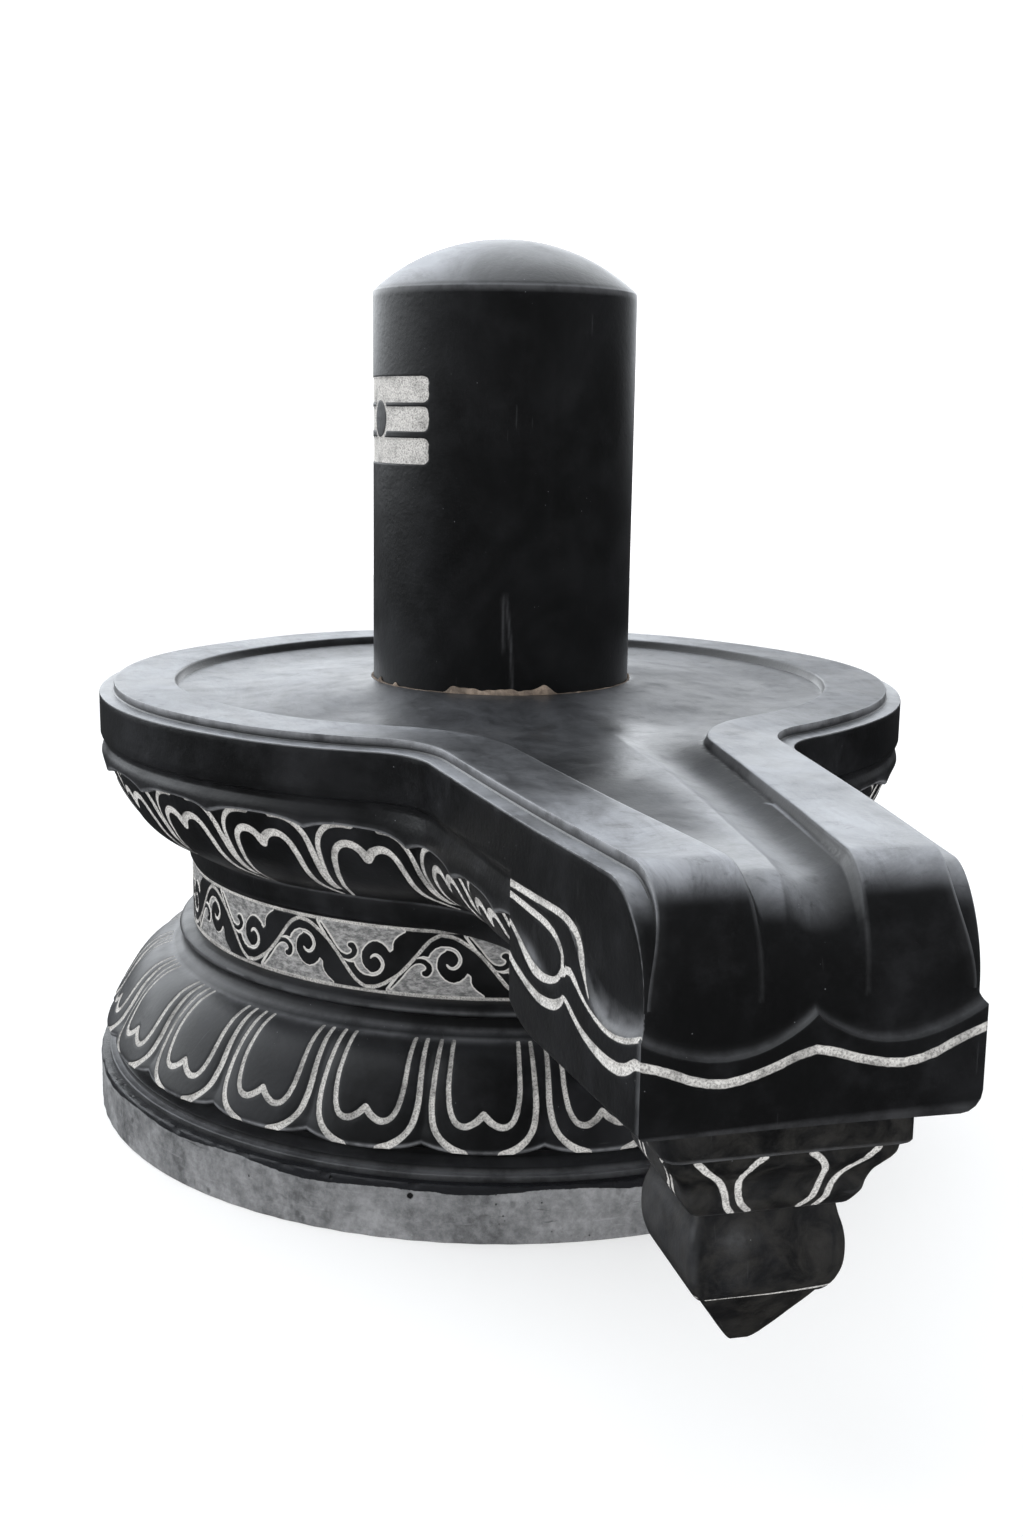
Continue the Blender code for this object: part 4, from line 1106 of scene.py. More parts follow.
    def lay_front(self):
        """The same rows as the sides, carried across under the roll."""
        s = self.s
        right_half, right_depth, end_reach, _ = self.sides[1]
        left_half, left_depth, _, _ = self.sides[-1]
        unit = self.x[-1] / np.abs(self.x[-1]).max()
        lip = front_lip(s, unit * s.spout_half_width)[None]
        x = unit[None] * np.where(unit[None] > 0, right_half[:, None], left_half[:, None])
        start = self.depth[-1][None]
        corner = s.block_drop - (SIDE_CUTS[-1] + (SIDE_CUTS[1] - SIDE_CUTS[-1]) * (unit[None] + 1) / 2)
        wall_rows = start + (lip - LIP_HOLLOW - start) * self.wall[:, None]
        hollow_rows = lip - LIP_HOLLOW + LIP_HOLLOW * self.hollow[:, None]
        low_rows = lip + (corner - lip) * self.below[:, None]
        foot_rows = corner + (s.block_drop - corner) * np.sin(self.turn[:, None])
        depth = np.vstack([wall_rows, hollow_rows, low_rows, foot_rows])
        depth[:, -1] = right_depth
        depth[:, 0] = left_depth
        y = np.broadcast_to(-end_reach[:, None], x.shape)
        under_lip = self.wall.size + self.hollow.size
        gap = gap_to_lines(np.stack([x, depth], -1), front_lines(s))
        sunk = LINE_DEPTH * smooth_step(-gap, -0.0020, 0.0022)
        sunk[[0, -1]] = 0.0
        sunk[:, [0, -1]] = 0.0
        sunk[:under_lip] = 0.0
        above = lip - depth
        # A painted highlight along the hollow just above the front's lip; the bottom rows and the corners
        # get rubbed edges.
        wear = 0.20 * np.exp(-(((above - 0.003) / 0.003) ** 2)) * (above > -0.001)
        wear[-3:] = 0.12
        wear[under_lip:, [0, -1]] = 0.4
        points = np.dstack([x, y + sunk, s.tray_top - depth])
        self.front = self.surface.grid(points, line_gap=gap, wear=wear)

    def close_block(self):
        """Underside and back of the block, and the hidden underside of the plate."""
        right, left = self.sides[1][3], self.sides[-1][3]
        bottoms = np.stack([right[:, -1], left[:, -1]], -1)
        quads = np.stack([bottoms[:-2, 0], bottoms[:-2, 1], bottoms[1:-1, 1], bottoms[1:-1, 0]], -1)
        self.surface.quads.append(quads)
        self.surface.cap([bottoms[-2, 0], bottoms[-2, 1]] + list(self.front[-1]))
        self.surface.cap(self.plate[-1])
        foot = self.wall.size - 1
        back = list(right[0, foot:]) + list(left[0, foot:][::-1])
        self.surface.cap(back + list(self.plate[-3:, 0]) + list(self.plate[-3:, -1][::-1]))

    def lay_floor(self):
        """Basin and channel: straight lines from the inner wall to the shaft's socket."""
        s = self.s
        ring = np.vstack([self.inner_ring, self.channel_start[::-1]])
        ring, ring_z = ring[:, :2], ring[:, 2]
        away = np.hypot(ring[:, 0], ring[:, 1])
        socket = ring / away[:, None] * (s.shaft_radius + s.socket_gap)
        t = np.linspace(0, 1, 34)[:, None, None]
        spread = ring[None] * (1 - t) + socket[None] * t
        x, y = spread[..., 0], spread[..., 1]
        z = s.tray_top - floor_depth(s, self.plan, x, y)
        z[0] = ring_z
        points = np.dstack([spread, z])
        # The floor's dust, with reflections painted into it, and its dullness.
        self.surface.grid(points, closed=True, tone=tray_dust_and_reflection(x, y), matt=tray_matt(x, y))
        pit_z = np.stack([z[-1], np.full(len(ring), s.tray_top - 0.03)])
        pit = self.surface.grid(np.dstack([np.repeat(spread[-1:], 2, 0), pit_z]), closed=True)
        self.surface.cap(pit[-1])


class LINGAM_OT_tray(bpy.types.Operator):
    """Carve the tray's rim, basin, channel and rolled spout."""

    bl_idname = "lingam.tray"
    bl_label = "Tray rim and spout"

    def execute(self, context):
        stone = black_stone(
            "worn_tray_stone", gloss=0.30, dust_and_reflection=0.02, cloud=0.9, level=(0.57, 0.93), scuffs=1.0
        )
        top = TrayTop(sizes())
        top.surface.build("yoni_tray_rim_and_spout", stone, "tray_stone", "yoni_tray")
        return {"FINISHED"}


def petal_local(phase):
    """Place across a petal, from -0.5 to 0.5 of the pitch, with 0 on its middle."""
    return phase - np.round(phase)


def bowl_profile(s):
    """Depth, inset, petal share and scallop share down the bowl, from the wall's foot to the seat."""
    wall_foot = s.ledge_drop + s.wall_height
    seat = s.tray_top - s.tray_foot
    neck = s.tray_radius - s.neck_radius
    band = [(wall_foot - 0.008, 0.012, 0, 0), (wall_foot - 0.0015, 0.0030, 0, 0), (0.0768, 0.0026, 0, 0)]
    band += [(0.0805, 0.0048, 0, 0), (0.0845, 0.0066, 0, 0), (0.0890, 0.0060, 0, 0)]
    band += [(0.0945, 0.0032, 0, 0.1), (0.1000, 0.0016, 0, 0.45), (0.1045, 0.0012, 0, 0.8)]
    band += [(0.1072, 0.0018, 0, 0.95), (0.1085, 0.0036, 0, 1)]
    band += [(0.1088, 0.0080, 0.1, 1), (0.1096, 0.0115, 0.35, 1)]
    petals = curve_through(
        [
            (0.1120, 0.0130, 0.75, 0.85),
            (0.1300, 0.0165, 1.0, 0.45),
            (0.1500, 0.0235, 1.0, 0.15),
            (0.1700, 0.0340, 1.0, 0.0),
            (0.1920, 0.0490, 1.0, 0.0),
            (0.2120, 0.0700, 1.0, 0.0),
            (0.2290, 0.0985, 0.85, 0.0),
            (0.2400, 0.1220, 0.30, 0.0),
        ],
        7,
    )
    foot = [(0.2425, 0.1262, 0.0, 0), (0.2450, 0.1275, 0, 0), (0.2520, 0.1282, 0, 0), (0.2620, 0.1284, 0, 0)]
    foot += [(seat - 0.0060, neck - 0.0040, 0, 0), (seat - 0.0015, neck - 0.0006, 0, 0), (seat, neck, 0, 0)]
    return np.vstack([band, petals, foot])


# Half lines of an upright petal: (degrees from its middle, drop below the rim over PETAL_UNIT)
PETAL_UNIT = 0.2
HEART_UP = ((0.0, 0.776), (0.75, 0.716), (1.9, 0.684), (3.2, 0.690), (4.25, 0.742))
HEART_UP += ((4.80, 0.83), (5.05, 0.93), (5.30, 1.03), (5.80, 1.12), (6.6, 1.19))
SHOULDER_UP = ((1.9, 0.548), (3.4, 0.548), (5.0, 0.568), (6.15, 0.625), (6.75, 0.70))
SHOULDER_UP += ((6.98, 0.79), (7.08, 0.89), (7.14, 1.0), (7.22, 1.12))


def petal_lines(halves, widths, drop, radius):
    """Both halves of a petal's lines, from (degrees across, drop) to (across, along, half width).

    drop turns a drop into a length along the profile, and radius gives the ring's radius there.
    """
    lines = []
    for half, (first, last) in zip(halves, widths):
        half = np.array(half, float)
        share = np.linspace(0, 1, len(half))
        fallen = half[:, 1] * PETAL_UNIT
        down = drop(fallen)
        across = np.radians(half[:, 0]) * radius(fallen)
        line = curve_through(np.stack([across, down, first + (last - first) * share], -1), 5)
        lines += [line, mirrored(line)]
    return lines


def bowl_surface(s):
    """The bowl's profile carried along the plan, each petal bulging as 1 - |2 t|^3 across its pitch."""
    plan = TrayPlan(s)
    profile = bowl_profile(s)
    depth, inset, petal, scallop = profile.T
    length_down = np.concatenate([[0], np.cumsum(np.hypot(np.diff(depth), np.diff(inset)))])
    trace = np.linspace(-plan.ends[-1], plan.ends[-1], 1240)
    point, inward = plan.stations(trace)
    pitch = plan.round_radius * 2 * math.pi / s.petals
    local = petal_local(trace / pitch)
    bulge = 1 - np.abs(2 * local) ** 3
    near_spout = smooth_step(np.abs(trace), plan.ends[0] - 0.10, plan.ends[1])
    droop = 0.016 * near_spout
    radius = s.tray_radius - inset
    across = local[None] * math.radians(360 / s.petals) * radius[:, None]
    along = np.broadcast_to(length_down[:, None], across.shape)
    drop_to = lambda d: np.interp(d, depth, length_down)
    ring_at = lambda d: np.interp(d, depth, radius)
    widths = ((0.0058, 0.0022), (0.0050, 0.0022))
    lines = petal_lines((HEART_UP, SHOULDER_UP), widths, drop_to, ring_at)
    gap = gap_to_lines(np.stack([across, along], -1), lines)
    hidden = (depth < 0.1092) | (depth > 0.2415)
    gap[hidden] = FAR_FROM_LINES
    sunk = 0.0022 * smooth_step(-gap, -0.0022, 0.0030)
    heart = petal[:, None] * 0.0070 * (1 - bulge[None])
    tip = 0.0120 * scallop[:, None] * (1 - bulge[None])
    inner = inset[:, None] + heart + sunk
    flat = point[None] + inner[..., None] * inward[None]
    sagging = smooth_step(depth, 0.085, 0.105) * (1 - smooth_step(depth, 0.15, 0.23))
    height = s.tray_top - depth[:, None] - tip - droop[None] * sagging[:, None]
    # A pale line on the scalloped edge, rubbed stone and a painted highlight, and a fainter rubbed line at
    # the petals' foot.
    wear = np.exp(-(((depth - 0.1080) / 0.0022) ** 2))[:, None] * 0.9 * np.ones_like(across)
    wear = wear + 0.35 * np.exp(-(((depth - 0.2410) / 0.0025) ** 2))[:, None]
    surface = Surface()
    rows = surface.grid(np.dstack([flat, height]), line_gap=gap, wear=wear)
    # Both ends run into the block, so they are closed with one flat face each, inside it
    surface.cap(rows[:, 0])
    surface.cap(rows[:, -1][::-1])
    surface.cap(rows[0])
    surface.cap(rows[-1])
    surface.cap([rows[0, 0], rows[-1, 0], rows[-1, -1], rows[0, -1]])
    return surface


class LINGAM_OT_bowl(bpy.types.Operator):
    """Carve the lotus bowl under the tray's wall."""

    bl_idname = "lingam.bowl"
    bl_label = "Lotus bowl"

    def execute(self, context):
        stone = black_stone("lotus_bowl_stone", gloss=0.32, dust_and_reflection=0.12, cloud=1.0)
        bowl_surface(sizes()).build("yoni_tray_lotus_bowl", stone, "tray_stone", "yoni_tray", sharp=44)
        return {"FINISHED"}


def bracket_profile():
    """Drop below the block and half width, down the square storeys to the blunt tip."""
    fillet = [(-0.020, 0.128), (0.0, 0.128), (0.020, 0.128), (0.036, 0.128), (0.042, 0.128), (0.0446, 0.128)]
    fillet += [(0.0464, 0.1265), (0.0470, 0.1205)]
    cyma = [(0.0490, 0.1195), (0.0620, 0.1165), (0.0725, 0.1090), (0.0833, 0.1010), (0.0958, 0.0955)]
    cyma += [(0.1083, 0.0925), (0.1177, 0.0870), (0.1229, 0.0830)]
    neck = [(0.1241, 0.0800), (0.1249, 0.0755)]
    bulge = [(0.1281, 0.0735), (0.1395, 0.0762), (0.1541, 0.0805), (0.1708, 0.0826), (0.1916, 0.0818)]
    bulge += [(0.2080, 0.0772), (0.2175, 0.0722), (0.2228, 0.0678)]
    tip = [(0.2240, 0.0642), (0.2384, 0.0550), (0.2561, 0.0430), (0.2728, 0.0320), (0.2915, 0.0190)]
    end = [(0.2978, 0.0140), (0.3014, 0.0105), (0.3028, 0.0070)]
    rows = [fillet, curve_through(cyma, 6), neck, curve_through(bulge, 6), curve_through(tip, 5), end]
    return np.vstack(rows)


# Lines of the bracket. Leaves: (share of the half width, drop). Seam: (place across, drop, half width)
LEAF_OUTER = ((0.78, 0.0505), (0.70, 0.0620), (0.62, 0.0770), (0.575, 0.0958))
LEAF_OUTER += ((0.56, 0.1104), (0.52, 0.1218))
LEAF_INNER = ((0.20, 0.0505), (0.30, 0.0600), (0.40, 0.0750), (0.43, 0.0937))
LEAF_INNER += ((0.40, 0.1083), (0.31, 0.1208))
LEAF_HALF_WIDTH = 0.0028
BRACKET_SEAM = ((-0.066, 0.2216, 0.0010), (-0.030, 0.2222, 0.0012), (0.0, 0.2218, 0.0012))
BRACKET_SEAM += ((0.035, 0.2196, 0.0012), (0.070, 0.2160, 0.0010))


def bracket_surface(s):
    """Four equal faces of the bracket's profile side by side, with their corners rounded a little."""
    profile = bracket_profile()
    drop, half = profile.T
    along = np.concatenate([[0], np.cumsum(np.hypot(np.diff(drop), np.diff(half)))])
    across = np.concatenate([np.linspace(-0.88, 0.88, 41), [0.945, 0.985]])
    out = np.concatenate([np.ones(41), [0.982, 0.945]])
    turns = np.arange(4) * math.pi / 2
    a = (half[:, None] * across[None])[:, None, :]
    b = (half[:, None] * out[None])[:, None, :]
    lines = []
    for leaf in (LEAF_OUTER, LEAF_INNER):
        share, leaf_drop = np.array(leaf).T
        aside = share * np.interp(leaf_drop, drop, half)
        down = np.interp(leaf_drop, drop, along)
        line = curve_through(np.stack([aside, down, np.full(len(leaf), LEAF_HALF_WIDTH)], -1), 4)
        lines += [mirrored(line), line]
    seam = np.array(BRACKET_SEAM)
    seam[:, 1] = np.interp(seam[:, 1], drop, along)
    lines.append(seam)
    place = np.stack(np.broadcast_arrays(half[:, None] * across[None], along[:, None]), -1)
    gap = gap_to_lines(place, lines)
    gap[drop < 0.049] = FAR_FROM_LINES
    sunk = (0.0016 * smooth_step(-gap, -0.0016, 0.0020))[:, None, :]
    sunk = sunk * (np.abs(across) < 0.9)
    c, d = np.cos(turns)[None, :, None], np.sin(turns)[None, :, None]
    x = (b - sunk) * d + a * c
    y = a * d - (b - sunk) * c
    centre = s.spout_reach - 0.170
    z = np.broadcast_to((s.tray_top - s.block_drop - drop)[:, None, None], x.shape)
    points = np.stack([x, y - centre, z], -1).reshape(len(drop), -1, 3)
    edge = 0.45 * np.exp(-(((drop - 0.0455) / 0.0014) ** 2))
    edge = edge + 0.45 * np.exp(-(((drop - 0.1237) / 0.0015) ** 2))
    edge = edge + 0.06 * np.exp(-(((drop - 0.100) / 0.020) ** 2))
    surface = Surface()
    gaps = np.broadcast_to(gap[:, None, :], x.shape).reshape(len(drop), -1)
    scuff = np.exp(-(((across[None] + 0.45) / 0.25) ** 2) - ((drop[:, None] - 0.152) / 0.013) ** 2)
    scuffs_and_sheen = edge[:, None, None] + 0.28 * scuff[:, None] * (np.arange(4) == 0)[None, :, None]
    # A painted sheen on the left face of the bulge, added to the rubbed edges and the front's scuff.
    left_face_sheen = np.exp(-(((drop - 0.165) / 0.040) ** 2))[:, None, None]
    scuffs_and_sheen = scuffs_and_sheen + 0.16 * left_face_sheen * (np.arange(4) == 3)[None, :, None]
    scuffs_and_sheen = np.clip(scuffs_and_sheen, 0, 1).reshape(len(drop), -1)
    rows = surface.grid(points, closed=True, line_gap=gaps, wear=scuffs_and_sheen)
    surface.cap(rows[0][::-1])
    surface.cap(rows[-1])
    return surface


class LINGAM_OT_bracket(bpy.types.Operator):
    """Carve the stepped pendant under the spout's end."""

    bl_idname = "lingam.bracket"
    bl_label = "Spout bracket"

    def execute(self, context):
        stone = black_stone("bracket_stone", gloss=0.34, dust_and_reflection=0.25, cloud=1.0, grime=0.45)
        bracket_surface(sizes()).build("yoni_tray_bracket", stone, "tray_stone", "yoni_tray")
        return {"FINISHED"}


# Pedestal


def scroll_shapes():
    """Pale shapes of half a wave of the scroll, as shares of a wave across and of the band's height.

    The stem is a pale line. Below it a pale pocket of ground ends in a curled tail, and a black hook
    lies over the pocket. The other half of the wave is the same, upside down and half a wave on.
    Half widths are in metres.
    """
    stem = [(-0.04, 0.945), (0.03, 0.925), (0.08, 0.875), (0.127, 0.805), (0.171, 0.735), (0.214, 0.64)]
    stem += [(0.256, 0.53), (0.298, 0.41), (0.335, 0.30), (0.370, 0.20), (0.405, 0.125), (0.46, 0.055)]
    pocket = [(-0.40, 0.0), (-0.40, 0.06), (-0.345, 0.24), (-0.27, 0.42), (-0.222, 0.53)]
    pocket += [(-0.19, 0.585), (-0.155, 0.61), (-0.121, 0.60), (-0.11, 0.66), (-0.08, 0.735)]
    pocket += [(-0.041, 0.775), (-0.002, 0.775), (-0.012, 0.70), (-0.041, 0.655), (-0.059, 0.589)]
    pocket += [(-0.066, 0.503), (-0.063, 0.42), (-0.044, 0.345), (-0.015, 0.273), (0.013, 0.24)]
    pocket += [(0.041, 0.229), (0.078, 0.262), (0.106, 0.315), (0.126, 0.385), (0.150, 0.335)]
    pocket += [(0.150, 0.25), (0.160, 0.19), (0.185, 0.125), (0.233, 0.05), (0.233, 0.0)]
    tail = [(-0.020, 0.745, 0.0026), (0.012, 0.747, 0.0027), (0.049, 0.712, 0.0027)]
    tail += [(0.071, 0.650, 0.0026), (0.080, 0.58, 0.0026), (0.072, 0.515, 0.0027)]
    tail += [(0.052, 0.462, 0.0026), (0.030, 0.445, 0.0022), (0.010, 0.462, 0.0018)]
    tail += [(-0.004, 0.50, 0.0012)]
    hook = [(-0.370, 0.07, 0.0010), (-0.340, 0.155, 0.0014), (-0.300, 0.275, 0.0020)]
    hook += [(-0.260, 0.405, 0.0024), (-0.215, 0.505, 0.0030), (-0.165, 0.530, 0.0034)]
    hook += [(-0.128, 0.485, 0.0038), (-0.116, 0.415, 0.0042), (-0.132, 0.350, 0.0044)]
    hook += [(-0.148, 0.345, 0.0036)]
    return [(a, b, 0.0019) for a, b in stem], pocket, tail, hook


SCROLL_START = math.radians(-33.64 - 13.5)


def frieze_fields(s, azimuth, height):
    """Gap to the pale lines and to the pale ground of the frieze, in metres."""
    wave = 2 * math.pi * s.neck_radius / s.scroll_waves
    low, tall = s.frieze_foot + 0.0030, s.tray_foot - s.frieze_foot - 0.0075
    phase = (azimuth - SCROLL_START) / (2 * math.pi) * s.scroll_waves
    rise = (height - low) / tall
    rise, phase = np.broadcast_arrays(rise, phase)
    stem, pocket, tail, hook = scroll_shapes()
    stem, tail, hook = (curve_through(np.array(line) * (wave, tall, 1.0), 5) for line in (stem, tail, hook))
    pocket = np.array(pocket) * (wave, tall)
    lines = np.full(phase.shape, FAR_FROM_LINES)
    ground = np.full(phase.shape, FAR_FROM_LINES)
    for shift, upside_down in ((0.0, False), (0.5, True)):
        across = phase - shift - np.round(phase - shift)
        up = (1 - rise if upside_down else rise) * tall
        for move in (-1.0, 0.0, 1.0):
            near = (across + move > -0.55) & (across + move < 0.62)
            places = np.stack([(across[near] + move) * wave, up[near]], -1)
            lines[near] = np.minimum(lines[near], gap_to_lines(places, [stem]))
            leaf = np.minimum(gap_to_shape(places, pocket), gap_to_lines(places, [tail]))
            leaf = np.maximum(leaf, -gap_to_lines(places, [hook]))
            ground[near] = np.minimum(ground[near], leaf)
    return lines, ground


class LINGAM_OT_frieze(bpy.types.Operator):
    """Carve the scroll frieze round the pedestal's neck."""

    bl_idname = "lingam.frieze"
    bl_label = "Scroll frieze"

    def execute(self, context):
        s = sizes()
        azimuth = np.linspace(-math.pi, math.pi, 1500, endpoint=False)
        foot, top = s.frieze_foot, s.tray_foot
        body = np.linspace(top - 0.0010, foot + 0.0005, 60)
        height = np.concatenate([[top - 0.0003], body, [foot - 0.012]])
        stems, ground = frieze_fields(s, azimuth[None], height[:, None])
        inside = np.minimum(top - 0.0045 - height, height - foot - 0.0030)[:, None]
        border = np.abs(inside + 0 * stems) - 0.0017
        line_gap = np.minimum(np.where(inside > 0, stems, FAR_FROM_LINES), border)
        ground = np.where(inside > 0, ground, FAR_FROM_LINES)
        sunk = 0.0018 * smooth_step(-np.minimum(line_gap, ground), -0.0008, 0.0010)
        radius = s.neck_radius - sunk
        radius[0] = s.neck_radius
        radius[-1] = s.neck_radius
        points = turned(radius, height[:, None] + 0 * radius, azimuth[None])
        surface = Surface()
        rows = surface.grid(points, closed=True, line_gap=line_gap, tone=ground)
        surface.cap(rows[0])
        surface.cap(rows[-1][::-1])
        stone = black_stone("frieze_stone", gloss=0.36, dust_and_reflection=0.1, cloud=1.0, ground=True)
        surface.build("lotus_pedestal_frieze", stone, "pedestal_stone", "lotus_pedestal", 0.0)
        return {"FINISHED"}


def lotus_profile(s):
    """Radius, height and petal share from the bead under the frieze down to the recess above the disc."""
    neck, foot = s.neck_radius, s.frieze_foot
    bead = [(-0.0060, -0.0008), (0.0100, 0.0006), (0.0165, 0.0032), (0.0205, 0.0070), (0.0220, 0.0105)]
    bead += [(0.0205, 0.0145), (0.0165, 0.0175), (0.0140, 0.0190), (0.0142, 0.0240), (0.0165, 0.0300)]
    bead += [(0.0215, 0.0355), (0.0290, 0.0400)]
    bead = [(neck + out, foot - down, 0) for out, down in bead]
    spread = s.lotus_edge_radius - s.lotus_top_radius
    fall = s.lotus_top - s.lotus_edge
    shape = [(0.0, 0.0, 0.0), (0.14, 0.035, 0.35), (0.30, 0.10, 0.8), (0.46, 0.215, 1.0), (0.60, 0.36, 1.0)]
    shape += [(0.73, 0.54, 1.0), (0.85, 0.72, 1.0), (0.94, 0.87, 1.0), (0.985, 0.955, 1.0), (1.0, 1.0, 1.0)]
    shape = curve_through(shape, 6)
    out = s.lotus_top_radius + spread * shape[:, 0]
    petals = np.stack([out, s.lotus_top - fall * shape[:, 1], np.clip(shape[:, 2], 0, 1)], -1)
    edge, low = s.lotus_edge_radius, s.lotus_edge
    tip = [(edge - 0.0012, low - 0.0035, 1.0), (edge - 0.0060, low - 0.0055, 1.0)]
    tip += [(edge - 0.0150, low - 0.0068, 0.8), (edge - 0.0280, low - 0.0080, 0.0)]
    return np.vstack([bead, petals, tip])


# Half lines of a downturned petal, in the same measures as the upright ones
HEART_DOWN = ((0.0, 2.463), (0.95, 2.506), (2.2, 2.533), (3.4, 2.515))
HEART_DOWN += ((4.20, 2.445), (4.60, 2.33), (4.62, 2.22), (4.68, 2.105))
SHOULDER_DOWN = ((6.45, 2.105), (6.5, 2.19), (6.6, 2.30), (6.62, 2.43))
SHOULDER_DOWN += ((6.2, 2.54), (5.3, 2.615), (3.9, 2.665), (2.3, 2.695))


class LINGAM_OT_lotus(bpy.types.Operator):
    """Carve the downturned lotus of the pedestal."""

    bl_idname = "lingam.lotus"
    bl_label = "Downturned lotus"

    def execute(self, context):
        s = sizes()
        profile = lotus_profile(s)
        radius, height, share = profile.T
        azimuth = np.linspace(-math.pi, math.pi, 1200, endpoint=False)
        along = np.concatenate([[0], np.cumsum(np.hypot(np.diff(radius), np.diff(height)))])
        local = petal_local(azimuth / (2 * math.pi) * s.petals)
        bulge = 1 - np.abs(2 * local) ** 3
        first = int(np.argmin(np.abs(height - s.lotus_top)))
        down = lambda h: np.interp(-h, -height[first:], along[first:])
        ring = lambda h: np.interp(-h, -height[first:], radius[first:])
        drop = lambda d: down(s.tray_top - d)
        ring_at = lambda d: ring(s.tray_top - d)
        widths = ((0.0041, 0.0021), (0.0021, 0.0050))
        lines = petal_lines((HEART_DOWN, SHOULDER_DOWN), widths, drop, ring_at)
        across = local[None] * math.radians(360 / s.petals) * radius[:, None]
        places = np.stack([across, np.broadcast_to(along[:, None], across.shape)], -1)
        gap = gap_to_lines(places, lines)
        gap[:first] = FAR_FROM_LINES
        gap[-3:] = FAR_FROM_LINES
        sunk = 0.0020 * smooth_step(-gap, -0.0022, 0.0030)
        valley = 1 - bulge[None]
        late = smooth_step(s.lotus_edge + 0.030 - height, 0.0, 0.030)[:, None] * (share > 0)[:, None]
        r = radius[:, None] - 0.0080 * share[:, None] * valley - sunk
        rise = np.minimum(late, share[:, None])
        z = height[:, None] + rise * (0.0085 * valley)
        wear = 0.8 * np.exp(-(((height - s.lotus_edge) / 0.0022) ** 2)) * (share > 0.5)
        wear = wear + 0.5 * np.exp(-(((height - s.lotus_top) / 0.002) ** 2))
        wear = wear + 0.35 * np.exp(-(((radius - s.neck_radius - 0.022) / 0.0012) ** 2)) * (share == 0)
        surface = Surface()
        rows = surface.grid(turned(r, z, azimuth[None]), closed=True, line_gap=gap, wear=wear[:, None])
        surface.cap(rows[0])
        surface.cap(rows[-1][::-1])
        stone = black_stone("lower_lotus_stone", gloss=0.34, dust_and_reflection=0.05, cloud=1.2, shine=0.25)
        surface.build("lotus_pedestal_petals", stone, "pedestal_stone", "lotus_pedestal", 0.0006, sharp=44)
        return {"FINISHED"}


# Small holes in the disc's side: (degrees from the spout, height, radius)
DISC_HOLES = ((-23.47, 0.063, 0.0042), (-33.4, 0.074, 0.0024), (-45.0, 0.050, 0.0018))
DISC_HOLES += ((-8.0, 0.058, 0.0016), (35.0, 0.056, 0.0022), (96.0, 0.044, 0.0034))
DISC_HOLES += ((171.0, 0.061, 0.0030), (-127.0, 0.036, 0.0026))


